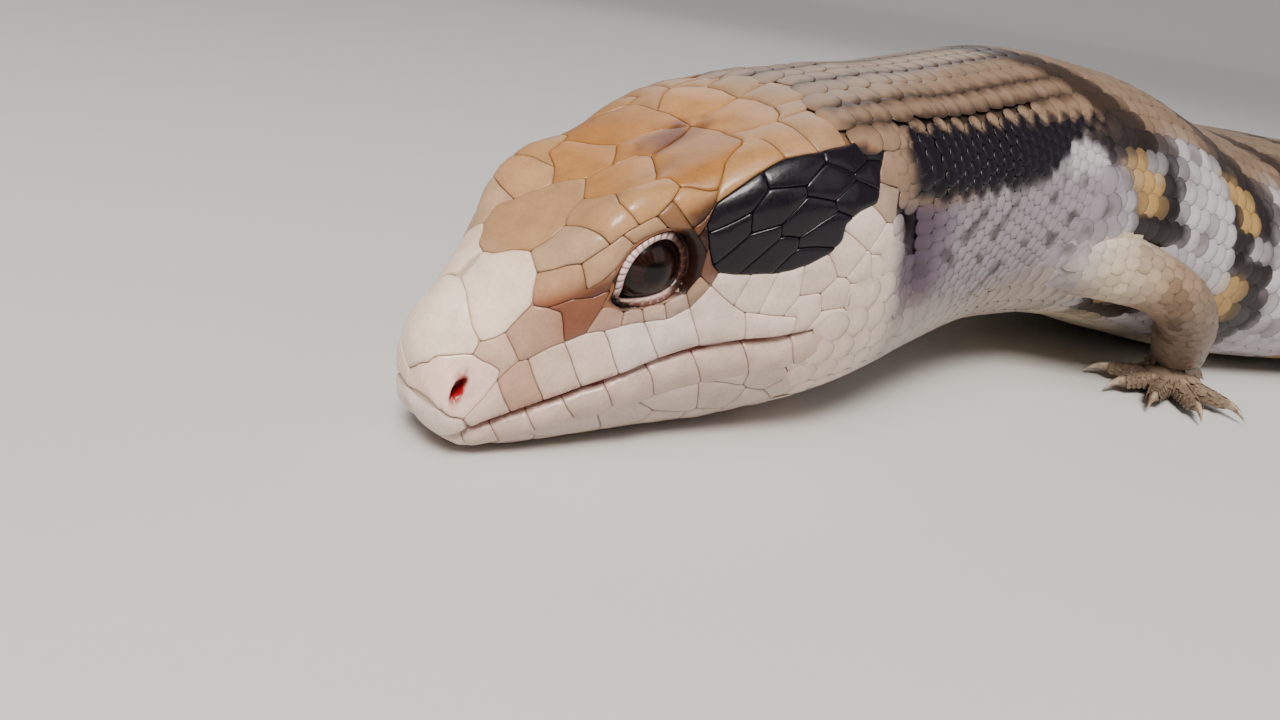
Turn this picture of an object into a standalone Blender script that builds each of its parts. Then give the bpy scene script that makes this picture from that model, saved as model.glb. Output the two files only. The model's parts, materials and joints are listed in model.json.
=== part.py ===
"""A life-size model of an eastern blue-tongued skink, resting on its chin, hands,
belly, feet and tail.

The whole animal is one bent tube around a spine line. A section of the tube is
given by its half width, its top and its bottom, and how square it is. The tube is
cut into head, neck, torso and tail lengths, and the legs grow from its sides.
Sizes are in millimetres and become metres when a mesh is made.
The nose points along +X, the animal's left is +Y, up is +Z and the floor is z = 0.
"""
from math import cos, degrees, exp, pi, radians, sin, sqrt

import bmesh
import bpy
import numpy as np

MM = 0.001
GAP = 0.3                       # clear space between pieces that meet
HEAD_SIDES = 40
TRUNK_SIDES = 28
TAIL_SIDES = 20
TRUNK_STEP = 7.0                # from ring to ring of the neck, torso and tail
MERGE = 0.004                   # points closer than this become one after a cut

# Driving sizes along the spine line, from the tip of the nose
HEAD_END = 60.0
NECK_END = 90.0
CHEST_END = 150.0
BELLY_END = 212.0
LOIN_END = 270.0
HIPS_END = 322.0
TAIL_BASE_END = 386.0
TAIL_MIDDLE_END = 450.0
TAIL_TIP = 512.0

HEAD_PITCH = radians(19.0)      # the nose points down to the floor
CHIN_REST = (-12.0, -5.95)      # the point of the chin on the floor: along, up

# Where the body turns to its right, going back: distance, degrees
SPINE_TURNS = ((0, 0), (50, 0), (64, 5), (80, 8), (100, 2), (120, -4), (150, -10),
               (190, -11), (235, 8), (285, 29), (320, 36), (370, 20), (430, -24),
               (480, -52), (512, -60))

# How high the spine line runs behind the head: distance, height
SPINE_HEIGHTS = ((112, 25.0), (130, 22.0), (150, 19.0), (200, 18.0), (240, 18.0),
                 (285, 16.5), (320, 13.0), (360, 10.8), (400, 8.4), (440, 6.0),
                 (480, 3.4), (512, 1.6))

# Sections: distance, half width, top, bottom, level of the widest place,
# squareness above it and below it
SECTIONS = (
    (0.0, 0.3, 4.3, 3.7, 4.0, 1.9, 2.0),
    (0.6, 4.3, 6.0, 1.3, 3.2, 2.0, 2.0),
    (1.6, 5.6, 9.2, -0.5, 2.6, 2.1, 2.0),
    (3.0, 5.9, 11.9, -2.4, 2.3, 2.2, 2.1),
    (4.6, 6.1, 13.1, -3.5, 2.0, 2.3, 2.2),
    (8.3, 7.4, 14.8, -5.0, 2.0, 2.5, 2.3),
    (12.0, 8.8, 16.6, -6.2, 2.6, 2.8, 2.4),
    (16.0, 10.1, 17.9, -7.4, 3.5, 3.3, 2.5),
    (20.0, 11.5, 18.9, -8.6, 5.0, 3.9, 2.6),
    (25.0, 12.7, 19.8, -10.5, 7.0, 4.2, 2.6),
    (32.0, 14.9, 20.5, -12.7, 7.0, 3.8, 2.6),
    (40.0, 17.8, 21.1, -14.0, 6.5, 3.2, 2.6),
    (47.0, 19.3, 22.4, -14.9, 7.0, 2.9, 2.6),
    (53.0, 19.5, 22.9, -16.1, 7.5, 2.7, 2.5),
    (60.0, 18.9, 21.9, -17.3, 7.0, 2.4, 2.4),
    (72.0, 18.4, 20.6, -17.8, 5.0, 2.2, 2.3),
    (85.0, 19.7, 21.3, -17.3, 4.0, 2.2, 2.2),
    (98.0, 22.8, 22.2, -17.3, 2.0, 2.2, 2.2),
    (115.0, 26.6, 20.8, -18.5, -1.0, 2.2, 2.3),
    (140.0, 30.2, 19.4, -18.8, -3.0, 2.2, 2.4),
    (165.0, 34.0, 19.2, -19.2, -4.0, 2.2, 2.5),
    (195.0, 36.8, 18.4, -18.7, -4.0, 2.2, 2.5),
    (230.0, 36.8, 18.8, -18.7, -4.0, 2.2, 2.5),
    (262.0, 32.5, 19.0, -18.3, -3.5, 2.2, 2.5),
    (290.0, 26.0, 17.5, -17.0, -2.5, 2.2, 2.4),
    (312.0, 20.0, 14.5, -14.4, -1.0, 2.1, 2.3),
    (330.0, 16.5, 13.2, -13.0, 0.0, 2.0, 2.2),
    (370.0, 13.0, 11.2, -10.8, 0.0, 2.0, 2.2),
    (420.0, 9.4, 8.4, -7.8, 0.0, 2.0, 2.1),
    (465.0, 5.8, 5.2, -4.9, 0.0, 2.0, 2.0),
    (495.0, 3.2, 2.9, -2.9, 0.0, 2.0, 2.0),
    (508.0, 1.8, 1.7, -1.7, 0.0, 2.0, 2.0),
    (512.0, 0.2, 0.2, -0.2, 0.0, 2.0, 2.0))

# Swellings of the brow over the eye and of the temple behind it: distance, degrees round
# from the crown, reach along, reach round in degrees, height
SWELLINGS = ((22.5, 39.0, 9.0, 12.0, 2.9), (40.5, 47.0, 8.5, 20.0, 2.7))

# The line between the lips, seen from the side: distance back, height
MOUTH_LINE = ((0.0, 0.4), (5.0, 0.8), (12.0, 1.6), (20.0, 2.2), (27.0, 2.6), (33.0, 1.8),
              (38.0, 0.9), (44.0, 0.8))
JAW_REAR = ((45.0, -4.0), (48.0, -24.0))

# Small forms of the head, as distance back, out to the side, up
EYE = (24.7, 9.0, 13.5)
EYE_RADIUS = 4.2
EYE_OPENING = (3.1, 2.2, 2.7)
EYE_OPENING_OUT = 13.2
LID_RADIUS = 3.9
LID_THICKNESS = 0.75
NOSTRIL = (3.8, 5.8, 6.2)
NOSTRIL_SIZE = (1.0, 1.6, 0.55)
EAR = (56.0, 18.7, 7.0)
EAR_SIZE = (1.7, 2.6, 3.2)
EARDRUM_SIZE = (1.15, 0.4, 2.5)
EARDRUM_IN = 1.6

# Colours, as linear red, green, blue
TAN = (0.47, 0.33, 0.18)
CREAM = (0.70, 0.58, 0.45)
PALE_GREY = (0.60, 0.57, 0.53)
DARK_EYE = (0.03, 0.018, 0.012)
EARDRUM_COLOUR = (0.20, 0.12, 0.10)
HORN = (0.42, 0.33, 0.22)


def ease(points, x):
    """A smooth curve through the points that never swings past them."""
    xs = np.array([p[0] for p in points], float)
    ys = np.array([p[1] for p in points], float)
    steps = np.diff(xs)
    rises = np.diff(ys) / steps
    slopes = np.zeros(len(xs))
    slopes[0] = rises[0]
    slopes[-1] = rises[-1]
    for i in range(1, len(xs) - 1):
        if rises[i - 1] * rises[i] > 0:
            before = 2 * steps[i] + steps[i - 1]
            after = steps[i] + 2 * steps[i - 1]
            slopes[i] = (before + after) / (before / rises[i - 1] + after / rises[i])
    x = np.clip(np.asarray(x, float), xs[0], xs[-1])
    k = np.clip(np.searchsorted(xs, x, side="right") - 1, 0, len(xs) - 2)
    t = (x - xs[k]) / steps[k]
    return ((2 * t ** 3 - 3 * t ** 2 + 1) * ys[k]
            + (t ** 3 - 2 * t ** 2 + t) * steps[k] * slopes[k]
            + (3 * t ** 2 - 2 * t ** 3) * ys[k + 1]
            + (t ** 3 - t ** 2) * steps[k] * slopes[k + 1])


def section_curve(column):
    """One column of the sections, as points against the root of the distance."""
    return [(sqrt(row[0]), row[column]) for row in SECTIONS]


SECTION_CURVES = [section_curve(column) for column in range(1, 7)]


def lip_height():
    """Height of the nose's lip level over the floor, from where the chin rests."""
    along, up = CHIN_REST
    return sin(HEAD_PITCH) * along - cos(HEAD_PITCH) * up


def make_spine():
    """Points and tangents of the spine line, one for each millimetre."""
    distance = np.arange(0.0, TAIL_TIP + 1.0)
    turn = np.radians(ease(SPINE_TURNS, distance))
    rise = sin(HEAD_PITCH)
    start = lip_height()
    heights = [(0, start), (50, start + 50 * rise), (62, start + 61 * rise),
               (76, start + 68 * rise), (95, start + 70.5 * rise)]
    heights += list(SPINE_HEIGHTS)
    height = ease(heights, distance)
    slope = np.gradient(height)
    level = np.sqrt(np.clip(1 - slope ** 2, 0, 1))
    steps = np.stack([-np.cos(turn) * level, -np.sin(turn) * level], 1)
    middles = (steps[1:] + steps[:-1]) / 2
    plan = np.concatenate([np.zeros((1, 2)), np.cumsum(middles, axis=0)])
    points = np.column_stack([plan, height])
    tangents = np.column_stack([steps, slope])
    tangents /= np.linalg.norm(tangents, axis=1)[:, None]
    return distance, points, tangents


SPINE = make_spine()


def spine_frame(s):
    """Point of the spine line, and the directions back, left and up there."""
    distance, points, tangents = SPINE
    point = np.array([np.interp(s, distance, points[:, i]) for i in range(3)])
    back = np.array([np.interp(s, distance, tangents[:, i]) for i in range(3)])
    back /= np.linalg.norm(back)
    left = np.cross(back, (0.0, 0.0, 1.0))
    left /= np.linalg.norm(left)
    return point, back, left, np.cross(left, back)


def swelling(s, round_degrees):
    """How far the brow and the temple stand out at a place round the head."""
    height = 0.0
    for distance, round_at, reach_along, reach_round, rise in SWELLINGS:
        away = ((s - distance) / reach_along) ** 2 + ((round_degrees - round_at) / reach_round) ** 2
        height += rise * exp(-away)
    return height


def section(s, sides, swell=0.0):
    """One ring of the body, from the middle of the back round by the left."""
    point, back, left, up = spine_frame(s)
    width, top, bottom, widest, square_top, square_bottom = [
        float(ease(curve, sqrt(s))) for curve in SECTION_CURVES]
    ring = []
    for i in range(sides):
        angle = 2 * pi * i / sides
        c = cos(angle)
        squareness = square_top if c >= 0 else square_bottom
        reach = top - widest if c >= 0 else widest - bottom
        radius = (abs(sin(angle) / width) ** squareness + abs(c / reach) ** squareness) ** (-1 / squareness)
        radius += swell + swelling(s, degrees(min(angle, 2 * pi - angle)))
        place = point + left * radius * sin(angle) + up * (widest + radius * c)
        place[2] = max(place[2], -swell)
        ring.append(place)
    return ring


def head_place(back, left, up):
    """A place of the head, given in its own directions, in the model's frame."""
    return np.array([-back * cos(HEAD_PITCH) + up * sin(HEAD_PITCH), left,
                     lip_height() + back * sin(HEAD_PITCH) + up * cos(HEAD_PITCH)])


def material(name, colour, roughness):
    """A plain finish in one colour."""
    made = bpy.data.materials.get(name) or bpy.data.materials.new(name)
    made.use_nodes = True
    shader = made.node_tree.nodes["Principled BSDF"]
    shader.inputs["Base Color"].default_value = (*colour, 1.0)
    shader.inputs["Roughness"].default_value = roughness
    shader.inputs["Metallic"].default_value = 0.0
    return made


def mesh_object(name, points, faces, finish=None):
    """A mesh object with its points given in millimetres."""
    mesh = bpy.data.meshes.new(name)
    mesh.from_pydata([tuple(float(v) * MM for v in p) for p in points], [], faces)
    mesh.update()
    made = bpy.data.objects.new(name, mesh)
    bpy.context.scene.collection.objects.link(made)
    if finish:
        mesh.materials.append(finish)
        mesh.shade_smooth()
    return made


def loft(name, rings, finish=None, tip_first=False, tip_last=False):
    """Join rings into a closed skin. An end is a flat cap, or a point."""
    sides = len(rings[0])
    points = [p for ring in rings for p in ring]
    faces = []
    for r in range(len(rings) - 1):
        for i in range(sides):
            j = (i + 1) % sides
            a, b = r * sides + i, r * sides + j
            faces.append((a, b, b + sides))
            faces.append((a, b + sides, a + sides))
    for end, tipped in ((0, tip_first), (len(rings) - 1, tip_last)):
        centre = np.mean(rings[end], axis=0)
        if tipped:
            other = np.mean(rings[1 if end == 0 else end - 1], axis=0)
            centre = centre + (centre - other) * 0.4
        points.append(centre)
        middle = len(points) - 1
        for i in range(sides):
            a, b = end * sides + i, end * sides + (i + 1) % sides
            faces.append((b, a, middle) if end == 0 else (a, b, middle))
    return mesh_object(name, points, faces, finish)


def body_length(name, start, end, step, sides, finish=None, swell=0.0):
    """A length of the body with flat ends, square to the spine line."""
    count = max(2, int(round((end - start) / step)) + 1)
    rings = [section(s, sides, swell) for s in np.linspace(start, end, count)]
    return loft(name, rings, finish, tip_first=start < 1, tip_last=end > TAIL_TIP - 1)


def ellipsoid(name, centre, sizes, axes, segments=16, rows=10, finish=None):
    """A closed ball with three half sizes along three directions."""
    rings = []
    for r in range(1, rows):
        polar = pi * r / rows
        ring = []
        for i in range(segments):
            turn = 2 * pi * i / segments
            local = (cos(turn) * sin(polar), sin(turn) * sin(polar), cos(polar))
            ring.append(sum((axes[k] * sizes[k] * local[k] for k in range(3)), centre))
        rings.append(ring)
    sides = segments
    points = [p for ring in rings for p in ring]
    points.append(centre + axes[2] * sizes[2])
    points.append(centre - axes[2] * sizes[2])
    north, south = len(points) - 2, len(points) - 1
    faces = []
    last = (len(rings) - 1) * sides
    for i in range(sides):
        j = (i + 1) % sides
        faces.append((i, j, north))
        faces.append((last + j, last + i, south))
        for r in range(len(rings) - 1):
            a, b = r * sides + i, r * sides + j
            faces.append((a, a + sides, b + sides))
            faces.append((a, b + sides, b))
    return mesh_object(name, points, faces, finish)


def ring_tube(name, centre, across, upward, outward, thickness, segments=24, sides=8):
    """A closed ring of round section, such as a rim of eyelid."""
    points = []
    faces = []
    for i in range(segments):
        turn = 2 * pi * i / segments
        middle = centre + across * cos(turn) + upward * sin(turn)
        away = across * cos(turn) / np.linalg.norm(across) + upward * sin(turn) / np.linalg.norm(upward)
        away /= np.linalg.norm(away)
        for k in range(sides):
            angle = 2 * pi * k / sides
            points.append(middle + away * thickness * cos(angle) + outward * thickness * sin(angle))
    for i in range(segments):
        for k in range(sides):
            a, b = i * sides + k, i * sides + (k + 1) % sides
            c, d = ((i + 1) % segments) * sides + (k + 1) % sides, ((i + 1) % segments) * sides + k
            faces.append((a, b, c))
            faces.append((a, c, d))
    return mesh_object(name, points, faces)


def set_outward(made):
    """Turn the faces outward when a closed mesh is inside out."""
    mesh = made.data
    volume = 0.0
    for face in mesh.polygons:
        a, b, c = [mesh.vertices[v].co for v in face.vertices[:3]]
        volume += a.dot(b.cross(c))
    if volume < 0:
        mesh.flip_normals()
    return made


def keep_largest(made):
    """Drop loose scraps: only the closed surface with most faces stays."""
    mesh = made.data
    parent = list(range(len(mesh.vertices)))

    def root(v):
        while parent[v] != v:
            parent[v] = parent[parent[v]]
            v = parent[v]
        return v

    for edge in mesh.edges:
        a, b = root(edge.vertices[0]), root(edge.vertices[1])
        parent[a] = b
    faces = {}
    for face in mesh.polygons:
        faces.setdefault(root(face.vertices[0]), []).append(face)
    best = max(faces.values(), key=len)
    used = sorted({v for face in best for v in face.vertices})
    order = {v: i for i, v in enumerate(used)}
    fresh = bpy.data.meshes.new(made.name)
    fresh.from_pydata([tuple(mesh.vertices[v].co) for v in used], [],
                      [tuple(order[v] for v in face.vertices) for face in best])
    for finish in mesh.materials:
        fresh.materials.append(finish)
    fresh.shade_smooth()
    made.data = fresh
    bpy.data.meshes.remove(mesh)
    return made


def tidy_surface(mesh):
    """Merge points that a cut left almost on each other, and use triangles only."""
    surface = bmesh.new()
    surface.from_mesh(mesh)
    bmesh.ops.remove_doubles(surface, verts=surface.verts, dist=MERGE * MM)
    bmesh.ops.dissolve_degenerate(surface, dist=MERGE * MM, edges=surface.edges)
    bmesh.ops.triangulate(surface, faces=surface.faces)
    surface.to_mesh(mesh)
    surface.free()


def combine(made, others, operation):
    """Cut or join with other closed objects, which are used up."""
    group = bpy.data.collections.new("tools")
    for other in others:
        set_outward(other)
        group.objects.link(other)
    modifier = made.modifiers.new("combine", "BOOLEAN")
    modifier.operand_type = "COLLECTION"
    modifier.collection = group
    modifier.operation = operation
    modifier.solver = "EXACT"
    graph = bpy.context.evaluated_depsgraph_get()
    result = bpy.data.meshes.new_from_object(made.evaluated_get(graph))
    made.modifiers.clear()
    old = made.data
    made.data = result
    bpy.data.meshes.remove(old)
    tidy_surface(result)
    for other in others:
        bpy.data.objects.remove(other)
    bpy.data.collections.remove(group)
    return keep_largest(made)


def jaw_block(name, shrink):
    """The space of the lower jaw, as a block cut to the mouth line."""
    outline = [(-6.0, MOUTH_LINE[0][1])]
    for back in np.linspace(0.0, MOUTH_LINE[-1][0], 10):
        outline.append((back, float(ease(MOUTH_LINE, back))))
    outline += list(JAW_REAR)
    outline.append((-6.0, JAW_REAR[-1][1]))
    moved = []
    for i, (back, up) in enumerate(outline):
        if i <= 10:
            moved.append((back - (shrink if i == 10 else 0.0), up - shrink))
        else:
            moved.append((back - (shrink if back > 0 else 0.0), up))
    reach = 30.0
    points = [head_place(b, -reach, u) for b, u in moved] + [head_place(b, reach, u) for b, u in moved]
    n = len(moved)
    faces = [tuple(range(n)), tuple(range(2 * n - 1, n - 1, -1))]
    faces += [((i + 1) % n, i, n + i, n + (i + 1) % n) for i in range(n)]
    return mesh_object(name, points, faces)


def head_axes(side=1):
    """Directions of the head: back, out to a side, up."""
    origin = head_place(0, 0, 0)
    return [head_place(1, 0, 0) - origin, head_place(0, side, 0) - origin, head_place(0, 0, 1) - origin]


def head_rings():
    """Distances of the head's rings, closer together at the nose."""
    return np.concatenate([[0.35, 0.9, 1.7, 2.7, 3.8], np.arange(5.2, HEAD_END - 2.0, 2.5),
                           [HEAD_END - GAP / 2]])


def make_head(finish, jaw_finish):
    """Head and lower jaw, parted at the mouth line, with lids, nostrils and ears."""
    rings = [section(s, HEAD_SIDES) for s in head_rings()]
    head = loft("head", rings, finish, tip_first=True)
    jaw = loft("lower_jaw", rings, jaw_finish, tip_first=True)
    combine(jaw, [jaw_block("jaw_space", GAP / 2)], "INTERSECT")
    combine(head, [jaw_block("jaw_cut", -GAP / 2)], "DIFFERENCE")
    for side in (1, -1):
        back, out, up = head_axes(side)
        lid_centre = head_place(EYE[0], side * (EYE_OPENING_OUT - 0.1), EYE[2])
        lids = ring_tube("lids", lid_centre, back * LID_RADIUS, up * (LID_RADIUS - 0.5), out, LID_THICKNESS)
        combine(head, [lids], "UNION")
        eye_centre = head_place(EYE[0], side * EYE[1], EYE[2])
        socket_radius = EYE_RADIUS + GAP
        cutters = [
            ellipsoid("socket", eye_centre, (socket_radius,) * 3, (back, up, out)),
            ellipsoid("opening", head_place(EYE[0], side * EYE_OPENING_OUT, EYE[2]),
                      (EYE_OPENING[0], EYE_OPENING[2], EYE_OPENING[1]), (back, up, out)),
            ellipsoid("nostril", head_place(NOSTRIL[0], side * NOSTRIL[1], NOSTRIL[2]),
                      (NOSTRIL_SIZE[0], NOSTRIL_SIZE[2], NOSTRIL_SIZE[1]), (back, up, out), 10, 6),
            ellipsoid("ear", head_place(EAR[0], side * EAR[1], EAR[2]),
                      (EAR_SIZE[0], EAR_SIZE[2], EAR_SIZE[1]), (back, up, out), 14, 8)]
        combine(head, cutters, "DIFFERENCE")


def make_eyes(finish):
    """Two eyeballs in their sockets."""
    for name, side in (("eye_left", 1), ("eye_right", -1)):
        back, out, up = head_axes(side)
        set_outward(ellipsoid(name, head_place(EYE[0], side * EYE[1], EYE[2]),
                              (EYE_RADIUS,) * 3, (back, up, out), 16, 10, finish))


def make_eardrums(finish):
    """A thin disc at the bottom of each ear's cup."""
    for name, side in (("ear_left", 1), ("ear_right", -1)):
        back, out, up = head_axes(side)
        place = head_place(EAR[0], side * (EAR[1] - EARDRUM_IN), EAR[2])
        set_outward(ellipsoid(name, place, (EARDRUM_SIZE[0], EARDRUM_SIZE[2], EARDRUM_SIZE[1]),
                              (back, up, out), 12, 6, finish))


def rounded_path(corners, radius, steps=5):
    """A path through the corners, each inner one rounded by an arc-like bend."""
    path = [np.array(corners[0], float)]
    for before, here, after in zip(corners, corners[1:], corners[2:]):
        before, here, after = [np.array(p, float) for p in (before, here, after)]
        reach_in = min(radius, np.linalg.norm(here - before) * 0.48)
        reach_out = min(radius, np.linalg.norm(after - here) * 0.48)
        start = here + (before - here) / np.linalg.norm(before - here) * reach_in
        end = here + (after - here) / np.linalg.norm(after - here) * reach_out
        for i in range(steps + 1):
            t = i / steps
            path.append(start * (1 - t) ** 2 + here * 2 * t * (1 - t) + end * t ** 2)
    path.append(np.array(corners[-1], float))
    return path


def measure(path):
    """Distance along the path of each of its points."""
    lengths = [0.0]
    for a, b in zip(path, path[1:]):
        lengths.append(lengths[-1] + float(np.linalg.norm(b - a)))
    return np.array(lengths)


def path_frame(path, lengths, s):
    """Point, forward, side and up directions at a distance along a path."""
    def at(d):
        return np.array([np.interp(d, lengths, [p[i] for p in path]) for i in range(3)])
    point = at(s)
    forward = at(min(s + 0.8, lengths[-1])) - at(max(s - 0.8, 0.0))
    forward /= np.linalg.norm(forward)
    side = np.cross((0.0, 0.0, 1.0), forward)
    side /= np.linalg.norm(side)
    return point, forward, side, np.cross(forward, side)


def limb_rings(path, start, end, widths, heights, sides, step, gap_first=0.0, gap_last=0.0):
    """Oval rings along a path. An end ring can stand back from its place by a gap."""
    lengths = measure(path)
    rings = []
    for s in np.linspace(start, end, max(2, int(round((end - start) / step)) + 1)):
        point, forward, side, up = path_frame(path, lengths, s)
        if s == start:
            point = point + forward * gap_first
        if s == end:
            point = point - forward * gap_last
        width = float(ease(widths, s))
        height = float(ease(heights, s))
        ring = []
        for i in range(sides):
            angle = 2 * pi * i / sides
            place = point + side * width * sin(angle) + up * height * cos(angle)
            place[2] = max(place[2], 0.0)
            ring.append(place)
        rings.append(ring)
    return rings


# Legs: where each starts on the body, its elbow or knee and its ankle, and which way
# the foot points. A place is forward, left and height, in the body's own directions.
LEGS = {
    "front_left": dict(station=92.0, root=(-1.0, 12.0, 21.5), joint=(-18.0, 32.5, 19.0),
                       ankle=(-32.0, 29.3, 3.2), foot=14.0, kind="front"),
    "front_right": dict(station=92.0, root=(-1.0, -12.0, 21.5), joint=(-14.0, -34.0, 18.0),
                        ankle=(3.0, -44.5, 3.2), foot=-22.0, kind="front"),
    "rear_left": dict(station=294.0, root=(0.0, 13.0, 14.0), joint=(12.0, 38.0, 13.0),
                      ankle=(-10.0, 45.5, 3.4), foot=35.0, kind="rear"),
    "rear_right": dict(station=294.0, root=(0.0, -13.0, 14.0), joint=(8.0, -39.0, 13.0),
                       ankle=(-14.0, -44.0, 3.4), foot=-48.0, kind="rear")}

# Half widths and heights of a leg at its root, middle, joint, shin and ankle
LEG_GIRTH = {"front": ((6.4, 6.2), (5.2, 5.2), (4.2, 4.2), (4.3, 4.2), (3.3, 3.0)),
             "rear": ((8.6, 7.2), (7.0, 6.2), (5.5, 5.2), (5.0, 4.8), (3.7, 3.3))}
LEG_SIDES = 14
LEG_STEP = 3.6
JOINT_RADIUS = 13.0             # how far from its corner an elbow starts to bend
TRUNK_REACH = 36.0              # length of body, each way, that a leg is cut clear of
ANKLE_LENGTH = 9.0              # how much of the shin belongs to the foot
PALM_SIZE = {"front": (5.6, 4.7, 2.5), "rear": (6.2, 5.0, 2.6)}
PALM_HEIGHT = 2.3
PALM_AHEAD = 2.6                # from the ankle to the palm's middle

# Toes: degrees from the foot's middle, length beyond the palm
TOES = {"front": ((-62.0, 5.0), (-30.0, 6.4), (-2.0, 7.2), (27.0, 6.6), (62.0, 5.2)),
        "rear": ((-58.0, 5.0), (-28.0, 6.8), (-2.0, 8.0), (24.0, 8.4), (62.0, 5.4))}
TOE_THICK = ((0.0, 1.75), (0.6, 1.55), (1.0, 1.1))
TOE_FLATNESS = 0.84
TOE_HEIGHT = 1.55
TOE_SIDES = 8
TOE_ROOT = 0.55                 # a toe starts at this share of the palm's size
CLAW_LENGTH = 3.2
CLAW_THICK = 0.75
CLAW_TIP_HEIGHT = 0.55
CLAW_SIDES = 6


def leg_corners(leg):
    """Root, joint and ankle of a leg, and the foot's direction, in the model's frame."""
    point, back, left, up = spine_frame(leg["station"])
    forward = np.array([-back[0], -back[1], 0.0])
    forward /= np.linalg.norm(forward)
    side = np.array([left[0], left[1], 0.0])
    ground = np.array([point[0], point[1], 0.0])
    rise = np.array([0.0, 0.0, 1.0])
    corners = []
    for ahead, out, height in (leg["root"], leg["joint"], leg["ankle"]):
        corners.append(ground + forward * ahead + side * out + rise * height)
    turn = radians(leg["foot"])
    return corners, forward * cos(turn) + side * sin(turn)


def make_claw(name, base, pointing, finish):
    """A short curved claw that starts just clear of its toe."""
    start = base + pointing * GAP
    rings = []
    drop = start[2] - CLAW_TIP_HEIGHT
    side = np.cross((0.0, 0.0, 1.0), pointing)
    for t in (0.0, 0.5, 0.95):
        middle = start + pointing * CLAW_LENGTH * t
        middle[2] = start[2] + 0.5 * sin(pi * t) - drop * t * t
        thick = CLAW_THICK * (1 - t) ** 0.75 + 0.08
        ring = []
        for i in range(CLAW_SIDES):
            angle = 2 * pi * i / CLAW_SIDES
            ring.append(middle + side * thick * 0.85 * sin(angle) + np.array([0, 0, thick * cos(angle)]))
        rings.append(ring)
    set_outward(loft(name, rings, finish, tip_last=True))


def make_toe(base, pointing, length):
    """A short stubby toe, low on the floor."""
    path = [base, base + pointing * length]
    widths = [(t * length, w) for t, w in TOE_THICK]
    heights = [(t * length, w * TOE_FLATNESS) for t, w in TOE_THICK]
    return loft("toe", limb_rings(path, 0.0, length, widths, heights, TOE_SIDES, length / 3))


def make_palm(centre, pointing, sizes):
    """The sole and back of a foot, flat where it stands."""
    side = np.cross((0.0, 0.0, 1.0), pointing)
    palm = ellipsoid("palm", centre, sizes, (pointing, side, np.array([0.0, 0.0, 1.0])), 16, 8)
    for vertex in palm.data.vertices:
        vertex.co.z = max(vertex.co.z, 0.0)
    return palm


def make_foot(name, ankle_rings, ankle, pointing, kind, finish, claw_finish):
    """An ankle, a palm and five toes in one piece, with a claw on each toe."""
    foot = set_outward(loft(name, ankle_rings, finish))
    side = np.cross((0.0, 0.0, 1.0), pointing)
    long, wide, high = PALM_SIZE[kind]
    centre = ankle + pointing * PALM_AHEAD
    centre[2] = PALM_HEIGHT
    pieces = [make_palm(centre, pointing, (long, wide, high))]
    for number, (degrees, length) in enumerate(TOES[kind], 1):
        turn = radians(degrees)
        toward = pointing * cos(turn) + side * sin(turn)
        base = centre + (pointing * long * cos(turn) + side * wide * sin(turn)) * TOE_ROOT
        base[2] = TOE_HEIGHT
        reach = length + long * (1 - TOE_ROOT)
        pieces.append(make_toe(base, toward, reach))
        claw_name = name.replace("foot", "claw") + "_" + str(number)
        make_claw(claw_name, base + toward * reach, toward, claw_finish)
    combine(foot, pieces, "UNION")


def clear_of_trunk(piece, station):
    """Cut a piece of leg back to the side of the body, less the gap."""
    start, end = station - TRUNK_REACH, station + TRUNK_REACH
    trunk = body_length("trunk", start, end, TRUNK_STEP, TRUNK_SIDES, swell=GAP)
    combine(piece, [trunk], "DIFFERENCE")


def make_leg(label, leg, finishes):
    """Upper leg, lower leg and foot, parted at the elbow or knee and above the ankle."""
    corners, pointing = leg_corners(leg)
    path = rounded_path(corners, JOINT_RADIUS)
    lengths = measure(path)
    joint = float(lengths[len(path) // 2])
    total = float(lengths[-1])
    shin_end = total - ANKLE_LENGTH
    marks = (0.0, joint * 0.55, joint, (joint + total) * 0.5, total)
    girth = LEG_GIRTH[leg["kind"]]
    widths = [(m, g[0]) for m, g in zip(marks, girth)]
    heights = [(m, g[1]) for m, g in zip(marks, girth)]

    def rings(start, end, gap_first, gap_last):
        return limb_rings(path, start, end, widths, heights, LEG_SIDES, LEG_STEP, gap_first, gap_last)

    upper = set_outward(loft("upper_leg_" + label, rings(0.0, joint, 0.0, GAP / 2), finishes["leg"]))
    lower = set_outward(loft("lower_leg_" + label, rings(joint, shin_end, GAP / 2, GAP / 2), finishes["leg"]))
    for piece in (upper, lower):
        clear_of_trunk(piece, leg["station"])
    make_foot("foot_" + label, rings(shin_end, total, GAP / 2, 0.0), corners[-1], pointing,
              leg["kind"], finishes["foot"], finishes["claw"])


def make_trunk(finishes):
    """Neck, torso and tail, in lengths that meet face to face."""
    lengths = (("neck", HEAD_END, NECK_END, "back"), ("torso_chest", NECK_END, CHEST_END, "back"),
               ("torso_belly", CHEST_END, BELLY_END, "back"), ("torso_loin", BELLY_END, LOIN_END, "back"),
               ("torso_hips", LOIN_END, HIPS_END, "back"), ("tail_base", HIPS_END, TAIL_BASE_END, "back"),
               ("tail_middle", TAIL_BASE_END, TAIL_MIDDLE_END, "back"),
               ("tail_tip", TAIL_MIDDLE_END, TAIL_TIP, "back"))
    for name, start, end, slot in lengths:
        sides = TRUNK_SIDES if start < HIPS_END else TAIL_SIDES
        last = end if end == TAIL_TIP else end - GAP / 2
        set_outward(body_length(name, start + GAP / 2, last, TRUNK_STEP, sides, finishes[slot]))


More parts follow.
